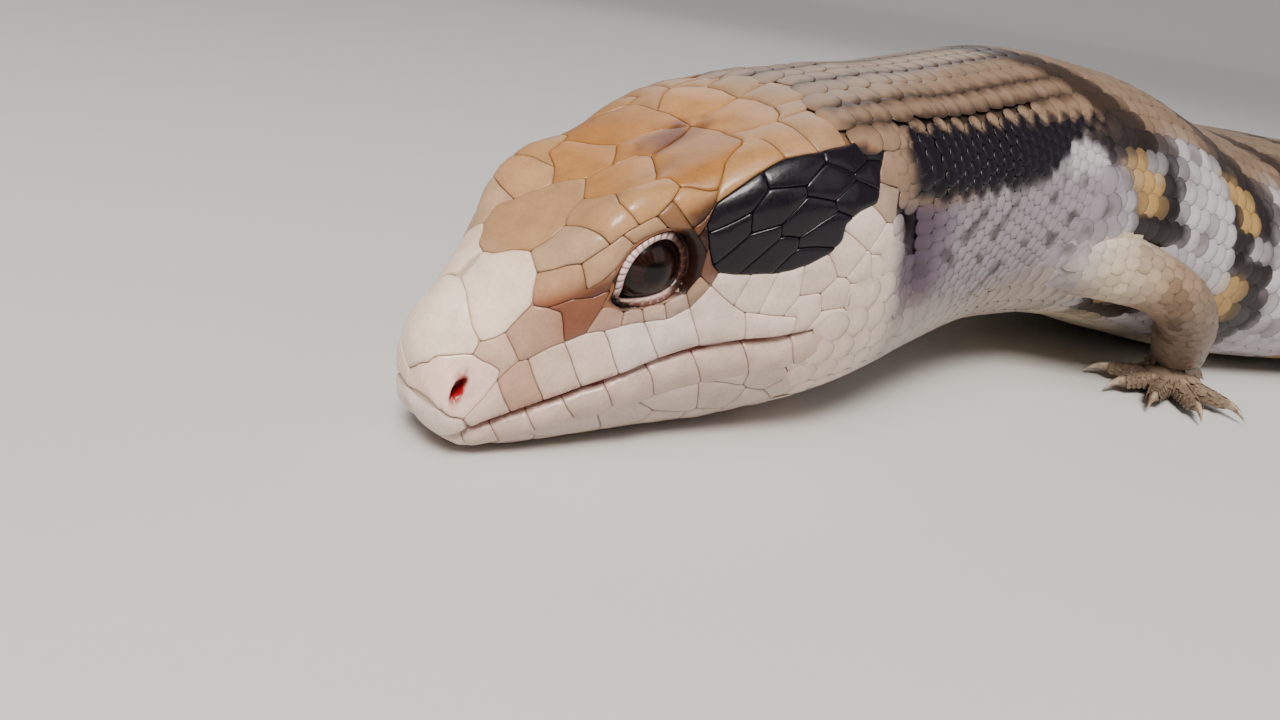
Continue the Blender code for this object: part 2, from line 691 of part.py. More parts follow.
def centre_on_floor():
    """Put the middle of the whole model's box over the origin."""
    meshes = [o.data for o in bpy.data.objects if o.type == "MESH"]
    corners = np.array([tuple(v.co) for mesh in meshes for v in mesh.vertices])
    shift = -(corners.min(axis=0) + corners.max(axis=0)) / 2
    shift[2] = -corners[:, 2].min()
    for mesh in meshes:
        for vertex in mesh.vertices:
            vertex.co = [vertex.co[i] + shift[i] for i in range(3)]
        mesh.update()
    print("shift mm", shift / MM)


def main():
    for old in list(bpy.data.objects):
        bpy.data.objects.remove(old)
    finishes = {"head": material("head_skin", TAN, 0.4), "jaw": material("jaw_skin", CREAM, 0.4),
                "back": material("back_skin", TAN, 0.5), "leg": material("leg_skin", PALE_GREY, 0.5),
                "foot": material("foot_skin", TAN, 0.5), "claw": material("claw_horn", HORN, 0.35),
                "eye": material("eye_wet", DARK_EYE, 0.05), "ear": material("eardrum", EARDRUM_COLOUR, 0.35)}
    make_head(finishes["head"], finishes["jaw"])
    make_eyes(finishes["eye"])
    make_eardrums(finishes["ear"])
    make_trunk(finishes)
    for label, leg in LEGS.items():
        make_leg(label, leg, finishes)
    centre_on_floor()


main()
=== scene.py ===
# %% [markdown]
# # A blue-tongued skink, life size
# The real animal is a stout lizard, about half a metre long, in glossy overlapping scales over
# a bent, tapering body. It could be sculpted by hand, but a tube along a spine line, with its
# widths and heights given by distance from the nose, keeps each part at a size that can be read
# and changed. The same tube gives the places of the scales.

import json
from math import cos, pi, radians, sin, sqrt

import bmesh
import bpy
import numpy as np
from mathutils import Matrix, Vector
from mathutils.kdtree import KDTree
from mathutils.bvhtree import BVHTree
from mathutils.geometry import delaunay_2d_cdt

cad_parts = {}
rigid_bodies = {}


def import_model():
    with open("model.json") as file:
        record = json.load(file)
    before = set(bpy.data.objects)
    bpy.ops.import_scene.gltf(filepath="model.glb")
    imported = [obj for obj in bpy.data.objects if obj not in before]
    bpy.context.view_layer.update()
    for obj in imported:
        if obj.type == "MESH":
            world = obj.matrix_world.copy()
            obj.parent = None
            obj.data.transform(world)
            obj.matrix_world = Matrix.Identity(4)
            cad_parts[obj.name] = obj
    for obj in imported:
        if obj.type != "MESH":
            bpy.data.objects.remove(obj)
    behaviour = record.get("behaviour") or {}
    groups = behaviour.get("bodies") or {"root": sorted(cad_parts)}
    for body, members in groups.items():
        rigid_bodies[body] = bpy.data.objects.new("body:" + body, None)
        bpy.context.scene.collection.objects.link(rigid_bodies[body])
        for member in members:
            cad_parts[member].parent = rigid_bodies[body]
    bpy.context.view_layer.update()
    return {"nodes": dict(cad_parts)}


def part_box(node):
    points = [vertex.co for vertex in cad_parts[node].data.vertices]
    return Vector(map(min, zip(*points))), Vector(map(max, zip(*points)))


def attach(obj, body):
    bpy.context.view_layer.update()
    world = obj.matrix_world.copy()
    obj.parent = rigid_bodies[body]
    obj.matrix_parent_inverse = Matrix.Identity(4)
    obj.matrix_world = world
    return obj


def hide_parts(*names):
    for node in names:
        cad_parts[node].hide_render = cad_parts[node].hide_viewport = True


for old in list(bpy.data.objects):
    bpy.data.objects.remove(old)
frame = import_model()
MM = 0.001

# %% [markdown]
# ## The form of the body
# A section across the body is nearly oval, squarer on top of the head. Six numbers describe
# it at a distance from the nose: half width, top, bottom, the level of the widest place and
# how square it is above and below that level. A smooth curve joins the numbers between the
# listed distances. The spine line turns in plan and sinks towards the tail.

# %% Sizes of the body, in millimetres
TAIL_TIP = 512.0
HEAD_PITCH = radians(19.0)
CHIN_REST = (-12.0, -5.95)
# Distance from the nose, and the turn of the spine line in degrees or its height
SPINE_TURNS = ((0, 0), (50, 0), (64, 5), (80, 8), (100, 2), (120, -4), (150, -10),
               (190, -11), (235, 8), (285, 29), (320, 36), (370, 20), (430, -24),
               (480, -52), (512, -60))
SPINE_HEIGHTS = ((112, 25.0), (130, 22.0), (150, 19.0), (200, 18.0), (240, 18.0),
                 (285, 16.5), (320, 13.0), (360, 10.8), (400, 8.4), (440, 6.0),
                 (480, 3.4), (512, 1.6))
# Distance, half width, top, bottom, widest level, squareness above and below
SECTIONS = (
    (0.0, 0.3, 4.3, 3.7, 4.0, 1.9, 2.0), (0.6, 4.3, 6.0, 1.3, 3.2, 2.0, 2.0),
    (1.6, 5.6, 9.2, -0.5, 2.6, 2.1, 2.0), (3.0, 5.9, 11.9, -2.4, 2.3, 2.2, 2.1),
    (4.6, 6.1, 13.1, -3.5, 2.0, 2.3, 2.2), (8.3, 7.4, 14.8, -5.0, 2.0, 2.5, 2.3),
    (12.0, 8.8, 16.6, -6.2, 2.6, 2.8, 2.4), (16.0, 10.1, 17.9, -7.4, 3.5, 3.3, 2.5),
    (20.0, 11.5, 18.9, -8.6, 5.0, 3.9, 2.6), (25.0, 12.7, 19.8, -10.5, 7.0, 4.2, 2.6),
    (32.0, 14.9, 20.5, -12.7, 7.0, 3.8, 2.6), (40.0, 17.8, 21.1, -14.0, 6.5, 3.2, 2.6),
    (47.0, 19.3, 22.4, -14.9, 7.0, 2.9, 2.6), (53.0, 19.5, 22.9, -16.1, 7.5, 2.7, 2.5),
    (60.0, 18.9, 21.9, -17.3, 7.0, 2.4, 2.4), (72.0, 18.4, 20.6, -17.8, 5.0, 2.2, 2.3),
    (85.0, 19.7, 21.3, -17.3, 4.0, 2.2, 2.2), (98.0, 22.8, 22.2, -17.3, 2.0, 2.2, 2.2),
    (115.0, 26.6, 20.8, -18.5, -1.0, 2.2, 2.3), (140.0, 30.2, 19.4, -18.8, -3.0, 2.2, 2.4),
    (165.0, 34.0, 19.2, -19.2, -4.0, 2.2, 2.5), (195.0, 36.8, 18.4, -18.7, -4.0, 2.2, 2.5),
    (230.0, 36.8, 18.8, -18.7, -4.0, 2.2, 2.5), (262.0, 32.5, 19.0, -18.3, -3.5, 2.2, 2.5),
    (290.0, 26.0, 17.5, -17.0, -2.5, 2.2, 2.4), (312.0, 20.0, 14.5, -14.4, -1.0, 2.1, 2.3),
    (330.0, 16.5, 13.2, -13.0, 0.0, 2.0, 2.2), (370.0, 13.0, 11.2, -10.8, 0.0, 2.0, 2.2),
    (420.0, 9.4, 8.4, -7.8, 0.0, 2.0, 2.1), (465.0, 5.8, 5.2, -4.9, 0.0, 2.0, 2.0),
    (495.0, 3.2, 2.9, -2.9, 0.0, 2.0, 2.0), (508.0, 1.8, 1.7, -1.7, 0.0, 2.0, 2.0),
    (512.0, 0.2, 0.2, -0.2, 0.0, 2.0, 2.0))
# Distance, degrees from the crown, reach along and round, and height of the jaw muscles
SWELLINGS = ((22.5, 39.0, 9.0, 12.0, 2.9), (40.5, 47.0, 8.5, 20.0, 2.7))


def ease(points, x):
    """A smooth curve through the points that never swings past them."""
    xs = np.array([p[0] for p in points], float)
    ys = np.array([p[1] for p in points], float)
    steps = np.diff(xs)
    rises = np.diff(ys) / steps
    slopes = np.zeros(len(xs))
    slopes[0], slopes[-1] = rises[0], rises[-1]
    for i in range(1, len(xs) - 1):
        if rises[i - 1] * rises[i] > 0:
            before = 2 * steps[i] + steps[i - 1]
            after = steps[i] + 2 * steps[i - 1]
            slopes[i] = (before + after) / (before / rises[i - 1] + after / rises[i])
    x = np.clip(np.asarray(x, float), xs[0], xs[-1])
    k = np.clip(np.searchsorted(xs, x, side="right") - 1, 0, len(xs) - 2)
    t = (x - xs[k]) / steps[k]
    return ((2 * t ** 3 - 3 * t ** 2 + 1) * ys[k]
            + (t ** 3 - 2 * t ** 2 + t) * steps[k] * slopes[k]
            + (3 * t ** 2 - 2 * t ** 3) * ys[k + 1]
            + (t ** 3 - t ** 2) * steps[k] * slopes[k + 1])


def unit(vectors):
    """Vectors scaled to length one."""
    return vectors / (np.linalg.norm(vectors, axis=-1, keepdims=True) + 1e-12)


LIP_HEIGHT = sin(HEAD_PITCH) * CHIN_REST[0] - cos(HEAD_PITCH) * CHIN_REST[1]
CURVES = [[(sqrt(row[0]), row[column]) for row in SECTIONS] for column in range(1, 7)]


def head_place(back, left, up):
    """A place of the head, given in its own directions, before the model is centred."""
    return np.array([-back * cos(HEAD_PITCH) + up * sin(HEAD_PITCH), left,
                     LIP_HEIGHT + back * sin(HEAD_PITCH) + up * cos(HEAD_PITCH)])


EYE = (24.7, 9.0, 13.5)          # the middle of the eye, in the directions of the head
eye_box = np.array([tuple(corner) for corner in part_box("eye_left")]) / MM
SHIFT = eye_box.mean(axis=0) - head_place(*EYE)
print("the model is centred by, mm:", SHIFT.round(3))

# %% The spine line and a table of the whole surface
distance = np.arange(0.0, TAIL_TIP + 1.0)
turn = np.radians(ease(SPINE_TURNS, distance))
rise = sin(HEAD_PITCH)
head_heights = [(s, LIP_HEIGHT + up * rise) for s, up in ((0, 0), (50, 50), (62, 61), (76, 68), (95, 70.5))]
height = ease(head_heights + list(SPINE_HEIGHTS), distance)
slope = np.gradient(height)
level = np.sqrt(np.clip(1 - slope ** 2, 0, 1))
steps = np.stack([-np.cos(turn) * level, -np.sin(turn) * level], 1)
plan = np.concatenate([np.zeros((1, 2)), np.cumsum((steps[1:] + steps[:-1]) / 2, axis=0)])
SPINE_POINTS = np.column_stack([plan, height])
SPINE_BACK = unit(np.column_stack([steps, slope]))


def spine_frames(s):
    """Points of the spine line, and the directions back, left and up there."""
    point = np.stack([np.interp(s, distance, SPINE_POINTS[:, i]) for i in range(3)], -1)
    back = unit(np.stack([np.interp(s, distance, SPINE_BACK[:, i]) for i in range(3)], -1))
    left = unit(np.cross(back, (0.0, 0.0, 1.0)))
    return point, back, left, np.cross(left, back)


def outline(s, angle):
    """Points of the body at distances s and angles from the crown, left being positive."""
    width, top, bottom, widest, square_top, square_bottom = [ease(c, np.sqrt(s)) for c in CURVES]
    across, along = np.sin(angle), np.cos(angle)
    squareness = np.where(along >= 0, square_top, square_bottom)
    reach = np.where(along >= 0, top - widest, widest - bottom)
    radius = (np.abs(across / width) ** squareness + np.abs(along / reach) ** squareness) ** (-1 / squareness)
    for at, round_at, reach_along, reach_round, swell in SWELLINGS:
        away = ((s - at) / reach_along) ** 2 + ((np.degrees(np.abs(angle)) - round_at) / reach_round) ** 2
        radius = radius + swell * np.exp(-away)
    point, back, left, up = spine_frames(s)
    place = point + left * (radius * across)[..., None] + up * (widest + radius * along)[..., None]
    place[..., 2] = np.maximum(place[..., 2], 0.0)
    return place


GRID_S = np.concatenate([[0.0, 0.04, 0.1, 0.2, 0.35, 0.55, 0.8, 1.1, 1.5, 2.0, 2.5, 3.0],
                         np.arange(3.5, 62.0, 0.5), np.arange(62.0, TAIL_TIP, 1.5), [TAIL_TIP]])
GRID_SHARES = np.linspace(-1.0, 1.0, 361)
FINE_ANGLES = np.linspace(-pi, pi, 1441)


def path_lengths(path):
    """How far along a path each of its points lies."""
    return np.concatenate([[0], np.cumsum(np.linalg.norm(np.diff(path, axis=0), axis=1))])


def make_table():
    """Surface points by distance and by share of the way round, and half girths."""
    table, halves = [], []
    for s in GRID_S:
        ring = outline(np.full(len(FINE_ANGLES), s), FINE_ANGLES)
        arc = path_lengths(ring)
        half = arc[-1] / 2
        table.append(np.stack([np.interp((GRID_SHARES + 1) * half, arc, ring[:, i]) for i in range(3)], -1))
        halves.append(half)
    return np.array(table), np.array(halves)


TABLE, HALF_GIRTHS = make_table()


def half_girth(s):
    """Half of the way round the body at a distance, in millimetres."""
    return np.interp(s, GRID_S, HALF_GIRTHS)


def look_up(table, s, a):
    """A value of the table at distances s, and arc a from the crown, left being positive."""
    share = (a / half_girth(s) + 1) % 2 - 1
    row = np.clip(np.searchsorted(GRID_S, s, side="right") - 1, 0, len(GRID_S) - 2)
    t = np.clip((s - GRID_S[row]) / (GRID_S[row + 1] - GRID_S[row]), 0, 1)[..., None]
    spot = (share + 1) * (len(GRID_SHARES) - 1) / 2
    column = np.clip(spot.astype(int), 0, len(GRID_SHARES) - 2)
    u = (spot - column)[..., None]
    first = table[row, column] * (1 - u) + table[row, column + 1] * u
    second = table[row + 1, column] * (1 - u) + table[row + 1, column + 1] * u
    return first * (1 - t) + second * t


along_s = np.gradient(TABLE, axis=0)
along_a = np.gradient(TABLE, axis=1)
NORMALS = unit(np.cross(along_s, along_a))
middle = TABLE.mean(axis=1, keepdims=True)
NORMALS *= np.sign(np.mean((NORMALS * (TABLE - middle)).sum(-1)[30:-30]))
NORMALS[:2] = unit(NORMALS[2].mean(axis=0))
print("girths, mm:", {s: round(2 * float(half_girth(s))) for s in (20, 50, 100, 200, 300, 400)})

# %% [markdown]
# ## The small relief of the skin
# The lips, the line of the mouth, the nostrils, the hollows for the eyes and the ears, and the
# fold behind the jaw are too small for the sections. They are added as heights over the
# smooth form, each a soft bump or hollow at its own place. Because skin, shields and scales
# all use the same heights, they stay in step with each other.

# %% Heights over the smooth form
MOUTH_LINE = ((0.0, 0.4), (5.0, 0.8), (12.0, 1.6), (20.0, 2.2), (27.0, 2.6), (33.0, 1.8), (38.0, 0.9),
              (44.0, 0.8))
MOUTH_END = 42.0
EYE_SPOT = (24.5, 19.2)
NOSTRIL_SPOT = (3.75, 9.25)
NOSTRIL_LIE = (0.9, 0.43)
EAR_SPOT = (56.0, 28.3)
JOWL_SPOT = (47.0, 28.0)


def smooth_step(low, high, x):
    """Rises from 0 at low to 1 at high."""
    t = np.clip((x - low) / (high - low), 0, 1)
    return t * t * (3 - 2 * t)


def bump(s, a, spot, reach_s, reach_a):
    """A soft round bump of height one."""
    return np.exp(-((s - spot[0]) / reach_s) ** 2 - ((a - spot[1]) / reach_a) ** 2)


def mouth_arcs():
    """How far round from the crown the line of the mouth lies, for each row of the table."""
    arcs = []
    for row, s in enumerate(GRID_S):
        places = TABLE[row, len(GRID_SHARES) // 2:] - np.array([0, 0, LIP_HEIGHT])
        back = -places[:, 0] * cos(HEAD_PITCH) + places[:, 2] * sin(HEAD_PITCH)
        up = places[:, 0] * sin(HEAD_PITCH) + places[:, 2] * cos(HEAD_PITCH)
        above = up - ease(MOUTH_LINE, back)
        crossing = np.nonzero((above[:-1] > 0) & (above[1:] <= 0))[0]
        share = 1.0
        if len(crossing):
            k = crossing[-1]
            share = (k + above[k] / (above[k] - above[k + 1])) / (len(above) - 1)
        arcs.append(share * HALF_GIRTHS[row])
    return np.array(arcs)


MOUTH_ARCS = mouth_arcs()


def mouth_arc(s):
    """How far round from the crown the line of the mouth lies at a distance."""
    return np.interp(s, GRID_S, MOUTH_ARCS)


def relief(s, a):
    """Height of the skin over the smooth form."""
    side = np.abs(a)
    below = (side - mouth_arc(s)) * 0.8
    in_mouth = 1 - smooth_step(MOUTH_END - 5, MOUTH_END + 1, s)
    h = in_mouth * (-0.9 * np.exp(-(below / 0.42) ** 2) + 0.28 * np.exp(-((below + 1.9) / 1.4) ** 2)
                    + 0.3 * np.exp(-((below - 1.7) / 1.3) ** 2))
    round_eye = np.hypot((s - EYE_SPOT[0]) / 3.5, (side - EYE_SPOT[1]) / 3.0)
    h = h - 3.2 * (1 - smooth_step(0.8, 1.15, round_eye))
    ahead = (s - NOSTRIL_SPOT[0]) * NOSTRIL_LIE[0] + (side - NOSTRIL_SPOT[1]) * NOSTRIL_LIE[1]
    beside = -(s - NOSTRIL_SPOT[0]) * NOSTRIL_LIE[1] + (side - NOSTRIL_SPOT[1]) * NOSTRIL_LIE[0]
    round_nostril = np.hypot(ahead / 1.2, beside / 0.62)
    h = (h - 1.5 * (1 - smooth_step(0.55, 1.1, round_nostril))
         + 0.16 * np.exp(-((round_nostril - 1.5) / 0.5) ** 2))
    round_ear = np.hypot((s - EAR_SPOT[0]) / 1.5, (side - EAR_SPOT[1]) / 2.9)
    h = h - 2.6 * (1 - smooth_step(0.7, 1.1, round_ear))
    h = h + 0.5 * bump(s, side, JOWL_SPOT, 6.0, 8.0)
    fold = smooth_step(20, 26, side) * (1 - smooth_step(34, 42, side))
    return h - 1.3 * fold * np.exp(-((s - 56.5) / 2.6) ** 2)


def surface(s, a, lift=0.0):
    """Points of the skin, lifted off it by some millimetres."""
    s, a = np.broadcast_arrays(np.asarray(s, float), np.asarray(a, float))
    raised = relief(s, a) + lift
    return look_up(TABLE, s, a) + unit(look_up(NORMALS, s, a)) * raised[..., None]


def lie_frames(s, a):
    """Out of the skin, and back along it, at places of the surface."""
    e = 0.6
    back = surface(s + e, a) - surface(np.maximum(s - e, 0.05), a)
    round_left = surface(s, a + e) - surface(s, a - e)
    out = unit(np.cross(back, round_left))
    flip = np.sign((out * look_up(NORMALS, s, a)).sum(-1, keepdims=True))
    out = out * np.where(flip == 0, 1, flip)
    back = unit(back - out * (back * out).sum(-1, keepdims=True))
    return out, back


print("way round from the crown to the mouth, 20 mm behind the nose:", round(float(mouth_arc(20.0)), 1), "mm")

# %% [markdown]
# ## Markings
# The animal is tan on top of the head and cream on the lips, with a near-black patch behind
# the eye, a black stripe along the side of the neck, and dark slanting bands over a pale
# body. Some shade is painted in too: the jowl's shadow on the side of the neck, and a darker
# cream under the throat. One function gives the colour at any place, so that the skin, the
# shields and each scale agree. It works from distances in millimetres, not from a picture.

# %% The colours and where they lie
TAN = (0.41, 0.245, 0.125)
DEEP_TAN = (0.39, 0.205, 0.085)
SNOUT_CREAM = (0.70, 0.58, 0.48)
LIP_CREAM = (0.61, 0.505, 0.44)
PATCH_BLACK = (0.015, 0.010, 0.017)
NAPE_TAN = (0.275, 0.192, 0.135)
BAND_BROWN = (0.046, 0.028, 0.020)
NETWORK_BLACK = (0.017, 0.010, 0.010)
FLANK_WHITE = (0.45, 0.42, 0.445)
FLANK_OCHRE = (0.40, 0.27, 0.12)
BELLY_CREAM = (0.55, 0.48, 0.38)
NOSTRIL_RED = (0.30, 0.012, 0.016)
MOUTH_PINK = (0.22, 0.06, 0.06)
BACK_TAN = (0.25, 0.18, 0.125)
BACK_MOTTLE = (0.20, 0.135, 0.09)
FLANK_SPECK = (0.10, 0.075, 0.075)
BELLY_GREY = (0.24, 0.20, 0.18)
GRAIN_PALE = (0.30, 0.265, 0.295)
GRAIN_DARK = (0.07, 0.06, 0.065)
# painted shadow colour: the shadow of the jowl on the side of the neck
JOWL_SHADOW_PAINT = (0.085, 0.055, 0.085)
# cream of the throat, partly darkened as painted shade under the neck
THROAT_CREAM_SHADED = (0.40, 0.34, 0.30)
NAPE_LINE_BROWN = (0.030, 0.015, 0.012)
BAND_PERIOD = 25.0
FIRST_BAND = 91.5

PATCH_TOP = ((30, 15.6), (34, 15.1), (40, 15.4), (44, 16.7), (50, 16.4), (53, 18.2), (54, 18.8))
PATCH_FOOT = ((30, 21.8), (33, 23.6), (37, 26.6), (41, 27.7), (44.5, 26.4), (46, 24.4), (50, 23.2),
              (54, 19.0))
STRIPE_TOP = ((56, 17.6), (60, 15.4), (75, 15.6), (84, 16.6), (96, 18.6), (100, 19.2))
STRIPE_FOOT = ((56, 22.5), (59, 24.4), (75, 24.0), (84, 23.4), (90, 20.9), (96, 20.4), (100, 20.2))
LIP_LEVEL = ((0, 7, 12, 18, 24, 30, 40, 50, 56), (6, 11, 14, 19, 24, 22, 27, 23, 20))
NAPE_LINES = (1, 3, 4)           # borders between rows of scales, counted from the crown
NECK_ROWS = 36


def ripple(s, a, scale, seed):
    """Soft natural variation between -1 and 1, the same at each run."""
    x, y = s / scale, a / scale
    return (np.sin(1.7 * x + 2.3 * np.sin(0.9 * y + seed))
            + np.sin(2.1 * y + 1.9 * np.sin(1.3 * x + 2 * seed))
            + np.sin(1.1 * (x + y) + 3 * seed)) / 3


def mix(first, second, share):
    """Blend two colours by a share for each place."""
    share = np.asarray(share)[..., None]
    return np.asarray(first) * (1 - share) + np.asarray(second) * share


def band_distance(s, side):
    """How far a place is behind the middle of the nearest slanting band, and how far the band lags there."""
    near = np.minimum(side, 30.0)
    lag = (0.25 * near + 0.0135 * near ** 2 + 0.2 * (side - near)) * (1 - 0.7 * smooth_step(300, 350, s))
    phase = (s - FIRST_BAND - lag + 1.1 * ripple(s, side, 7.0, 1.3)) / BAND_PERIOD
    return (phase - np.round(phase)) * BAND_PERIOD, lag


def band_strength(s, side):
    """How dark the slanting bands are, from 0 to 1."""
    behind, lag = band_distance(s, side)
    away = np.abs(behind)
    width = 3.9 + 2.0 * smooth_step(200, 420, s)
    return (1 - smooth_step(width - 1.1, width + 1.1, away)) * smooth_step(84, 88, s - lag)


def back_colours(s, a):
    """The brown of the neck and back, between the bands."""
    top = mix(NAPE_TAN, BACK_TAN, smooth_step(100, 170, s))
    mottled = 0.4 * smooth_step(-0.2, 0.9, ripple(s, a, 4.0, 5.0)) * smooth_step(80, 100, s)
    return mix(top, BACK_MOTTLE, mottled)


def flank_colours(s, side, share):
    """The flank: white with dark specks and ochre spots, in a black net."""
    behind = band_distance(s, side)[0]
    pale = mix(FLANK_WHITE, FLANK_SPECK, 0.6 * smooth_step(0.25, 0.6, ripple(s, side, 2.3, 0.7)))
    netted = smooth_step(-0.75, -0.3, ripple(s, side, 3.4, 6.1))
    ring = (1 - smooth_step(5.4, 6.8, np.abs(behind + 4.0) + 1.2 * ripple(s, side, 2.2, 8.0))) * netted
    upper = smooth_step(0.44, 0.30, share) * (1 - smooth_step(6.0, 8.0, np.abs(behind)))
    colour = mix(pale, NETWORK_BLACK, 0.95 * np.maximum(ring, upper))
    high_enough = smooth_step(-0.35, 0.05, np.sin(side * 0.42 + 1.7))
    in_spot = (1 - smooth_step(2.3, 3.4, np.abs(behind + 6.4))) * high_enough
    return mix(colour, FLANK_OCHRE, in_spot * smooth_step(0.28, 0.34, share))


def throat_colours(s, side):
    """The pebbly side of the neck, with the jowl's shadow painted on it round the ear, and cream under the
    jaw that is partly darkened as painted shade.
    """
    grain = mix(GRAIN_PALE, GRAIN_DARK, 0.8 * smooth_step(0.25, 0.75, ripple(s, side, 1.5, 9.0)))
    # painted shadow: the jowl's shadow on the neck just behind it, round the ear
    shaded = np.exp(-((s - 57.6) / 4.4) ** 2) * smooth_step(20, 24, side) * (1 - smooth_step(37, 43, side))
    grain = mix(grain, JOWL_SHADOW_PAINT, 0.9 * shaded)
    return mix(grain, THROAT_CREAM_SHADED, smooth_step(34, 44, side))


def add_neck_lines(colour, s, side, half):
    """Dark lines between rows of scales on the nape, and the black stripe on the side of the neck."""
    row = 2 * half / NECK_ROWS
    for number in NAPE_LINES:
        wide = 0.80 + 0.28 * np.sin(2 * pi * s / (0.8 * row) + number)
        near = np.exp(-((side - number * row) / wide) ** 2)
        on_nape = near * smooth_step(49, 52, s) * (1 - smooth_step(90, 96, s))
        colour = mix(colour, NAPE_LINE_BROWN, on_nape)
    teeth = 0.9 * np.sin(s * 1.9)
    in_stripe = (smooth_step(-0.5, 0.5, side - ease(STRIPE_TOP, s) - teeth)
                 * smooth_step(0.6, -0.6, side - ease(STRIPE_FOOT, s) - 0.6 * teeth))
    return mix(colour, PATCH_BLACK, in_stripe * smooth_step(55.5, 57.5, s) * (1 - smooth_step(97, 102, s)))


def body_colours(s, a):
    """Colours of the neck, body and tail."""
    side, half = np.abs(a), half_girth(s)
    share = side / half
    on_tail = smooth_step(318, 345, s)
    colour = mix(back_colours(s, a), BAND_BROWN, 0.92 * band_strength(s, side))
    flank = smooth_step(0.26, 0.34, share + 0.02 * ripple(s, side, 6.0, 2.0)) * smooth_step(60, 75, s)
    colour = mix(colour, flank_colours(s, side, share), flank * (1 - 0.75 * on_tail))
    belly = mix(BELLY_CREAM, BELLY_GREY, 0.55 * smooth_step(0.2, 0.7, ripple(s, side, 6.5, 4.0)))
    colour = mix(colour, belly, smooth_step(0.70, 0.80, share) * (1 - 0.6 * on_tail))
    on_throat = smooth_step(23.5, 26.0, side) * (1 - smooth_step(96, 104, s))
    on_throat = on_throat * (1 - smooth_step(84, 90, s) * smooth_step(28, 24, side))
    return add_neck_lines(mix(colour, throat_colours(s, side), on_throat), s, side, half)


def head_colours(s, a):
    """Colours of the head under and between the shields."""
    side = np.abs(a)
    top = mix(SNOUT_CREAM, TAN, smooth_step(11, 15, s))
    top = mix(top, DEEP_TAN, smooth_step(24, 32, s))
    colour = mix(top, LIP_CREAM, smooth_step(-0.8, 0.8, side - np.interp(s, *LIP_LEVEL)))
    in_patch = smooth_step(-0.4, 0.4, side - ease(PATCH_TOP, s))
    in_patch = in_patch * smooth_step(0.4, -0.4, side - ease(PATCH_FOOT, s))
    in_patch = in_patch * smooth_step(29.0, 30.5, s) * smooth_step(54.5, 53.5, s)
    round_eye = np.hypot((s - EYE_SPOT[0]) / 4.3, (side - EYE_SPOT[1]) / 3.9)
    colour = mix(colour, PATCH_BLACK, np.maximum(in_patch, smooth_step(1.15, 0.95, round_eye)))
    near_mouth = np.exp(-((side - mouth_arc(s)) / 0.7) ** 2) * (1 - smooth_step(34, 42, s))
    colour = mix(colour, MOUTH_PINK, near_mouth)
    round_nostril = np.hypot((s - NOSTRIL_SPOT[0]) / 1.7, (side - NOSTRIL_SPOT[1]) / 1.3)
    return mix(colour, NOSTRIL_RED, smooth_step(1.0, 0.75, round_nostril))


def markings(s, a):
    """The colour of the animal at places of its surface."""
    s, a = np.broadcast_arrays(np.asarray(s, float), np.asarray(a, float))
    start = 47.5 + 3.5 * smooth_step(15.5, 17.5, np.abs(a))
    return mix(head_colours(s, a), body_colours(s, a), smooth_step(start, start + 3.0, s))


print("colour at the crown of the head:", markings(30.0, 1.0).round(3),
      "and on the neck stripe:", markings(75.0, 20.0).round(3))

# %% [markdown]
# ## Meshes, colours and maps
# Each piece carries its colour at its points, so one material can serve them all, and a map
# named OFBake that spreads the surface out flat: distance from the nose one way, the way
# round the other. The head is given more room on the map than its length, for finer colours.

# %% Helpers for meshes
MAP_STOPS = ((0.0, 0.01), (60.0, 0.40), (140.0, 0.60), (322.0, 0.84), (512.0, 0.99))
MAP_BODY = (0.02, 0.76)
PATCH_ON_MAP = 0.003             # size of one scale on the flat map
FLOOR_SOFT = 0.3                 # height under which pieces are pressed against the floor
DEEPEN = (1.26, 1.27)            # factor and power that deepen the colours


def map_places(s, a):
    """Where places of the body's surface lie on the flat map."""
    share = np.asarray(a) / half_girth(s)
    u = np.interp(s, [p[0] for p in MAP_STOPS], [p[1] for p in MAP_STOPS])
    v = MAP_BODY[0] + (MAP_BODY[1] - MAP_BODY[0]) * (share + 1) / 2
    return np.stack([u, v], -1)


def settle(z):
    """Heights pressed softly against the floor, so that what lies on it keeps its relief."""
    eased = FLOOR_SOFT * np.exp((np.minimum(z, FLOOR_SOFT) - FLOOR_SOFT) / FLOOR_SOFT)
    return np.where(z >= FLOOR_SOFT, z, eased)


def write_tint(mesh, colours):
    """Store the colours on the points, a little deeper, as the soft studio light washes them out."""
    layer = mesh.color_attributes.new("tint", "FLOAT_COLOR", "POINT")
    deep = DEEPEN[0] * np.clip(colours, 0, 1) ** DEEPEN[1]
    layer.data.foreach_set("color", np.column_stack([deep, np.ones(len(deep))]).astype(np.float32).ravel())


def make_mesh(name, points, faces, colours=None, maps=None, finish=None, edges=None):
    """A mesh object from points in millimetres, with a colour, a map place and an edge value for each."""
    mesh = bpy.data.meshes.new(name)
    metres = ((np.asarray(points) + SHIFT) * MM).tolist()
    mesh.from_pydata(metres, [], [tuple(int(i) for i in f) for f in faces])
    if colours is not None:
        write_tint(mesh, colours)
    if edges is not None:
        layer = mesh.attributes.new("edge", "FLOAT", "POINT")
        layer.data.foreach_set("value", np.asarray(edges, np.float32))
    if maps is not None:
        set_map(mesh, maps)
    mesh.shade_smooth()
    made = bpy.data.objects.new(name, mesh)
    bpy.context.scene.collection.objects.link(made)
    if finish:
        mesh.materials.append(finish)
    return made


def set_map(mesh, maps):
    """Write the flat map from a place for each point."""
    corners = np.zeros(len(mesh.loops), np.int32)
    mesh.loops.foreach_get("vertex_index", corners)
    layer = mesh.uv_layers.new(name="OFBake")
    layer.data.foreach_set("uv", np.asarray(maps, np.float32)[corners].ravel())


def grid_faces(rows, columns, closed):
    """Faces of a grid of points, row by row, that may close round on itself."""
    faces = []
    for r in range(rows - 1):
        for c in range(columns if closed else columns - 1):
            d = (c + 1) % columns
            faces.append((r * columns + c, r * columns + d, (r + 1) * columns + d, (r + 1) * columns + c))
    return faces


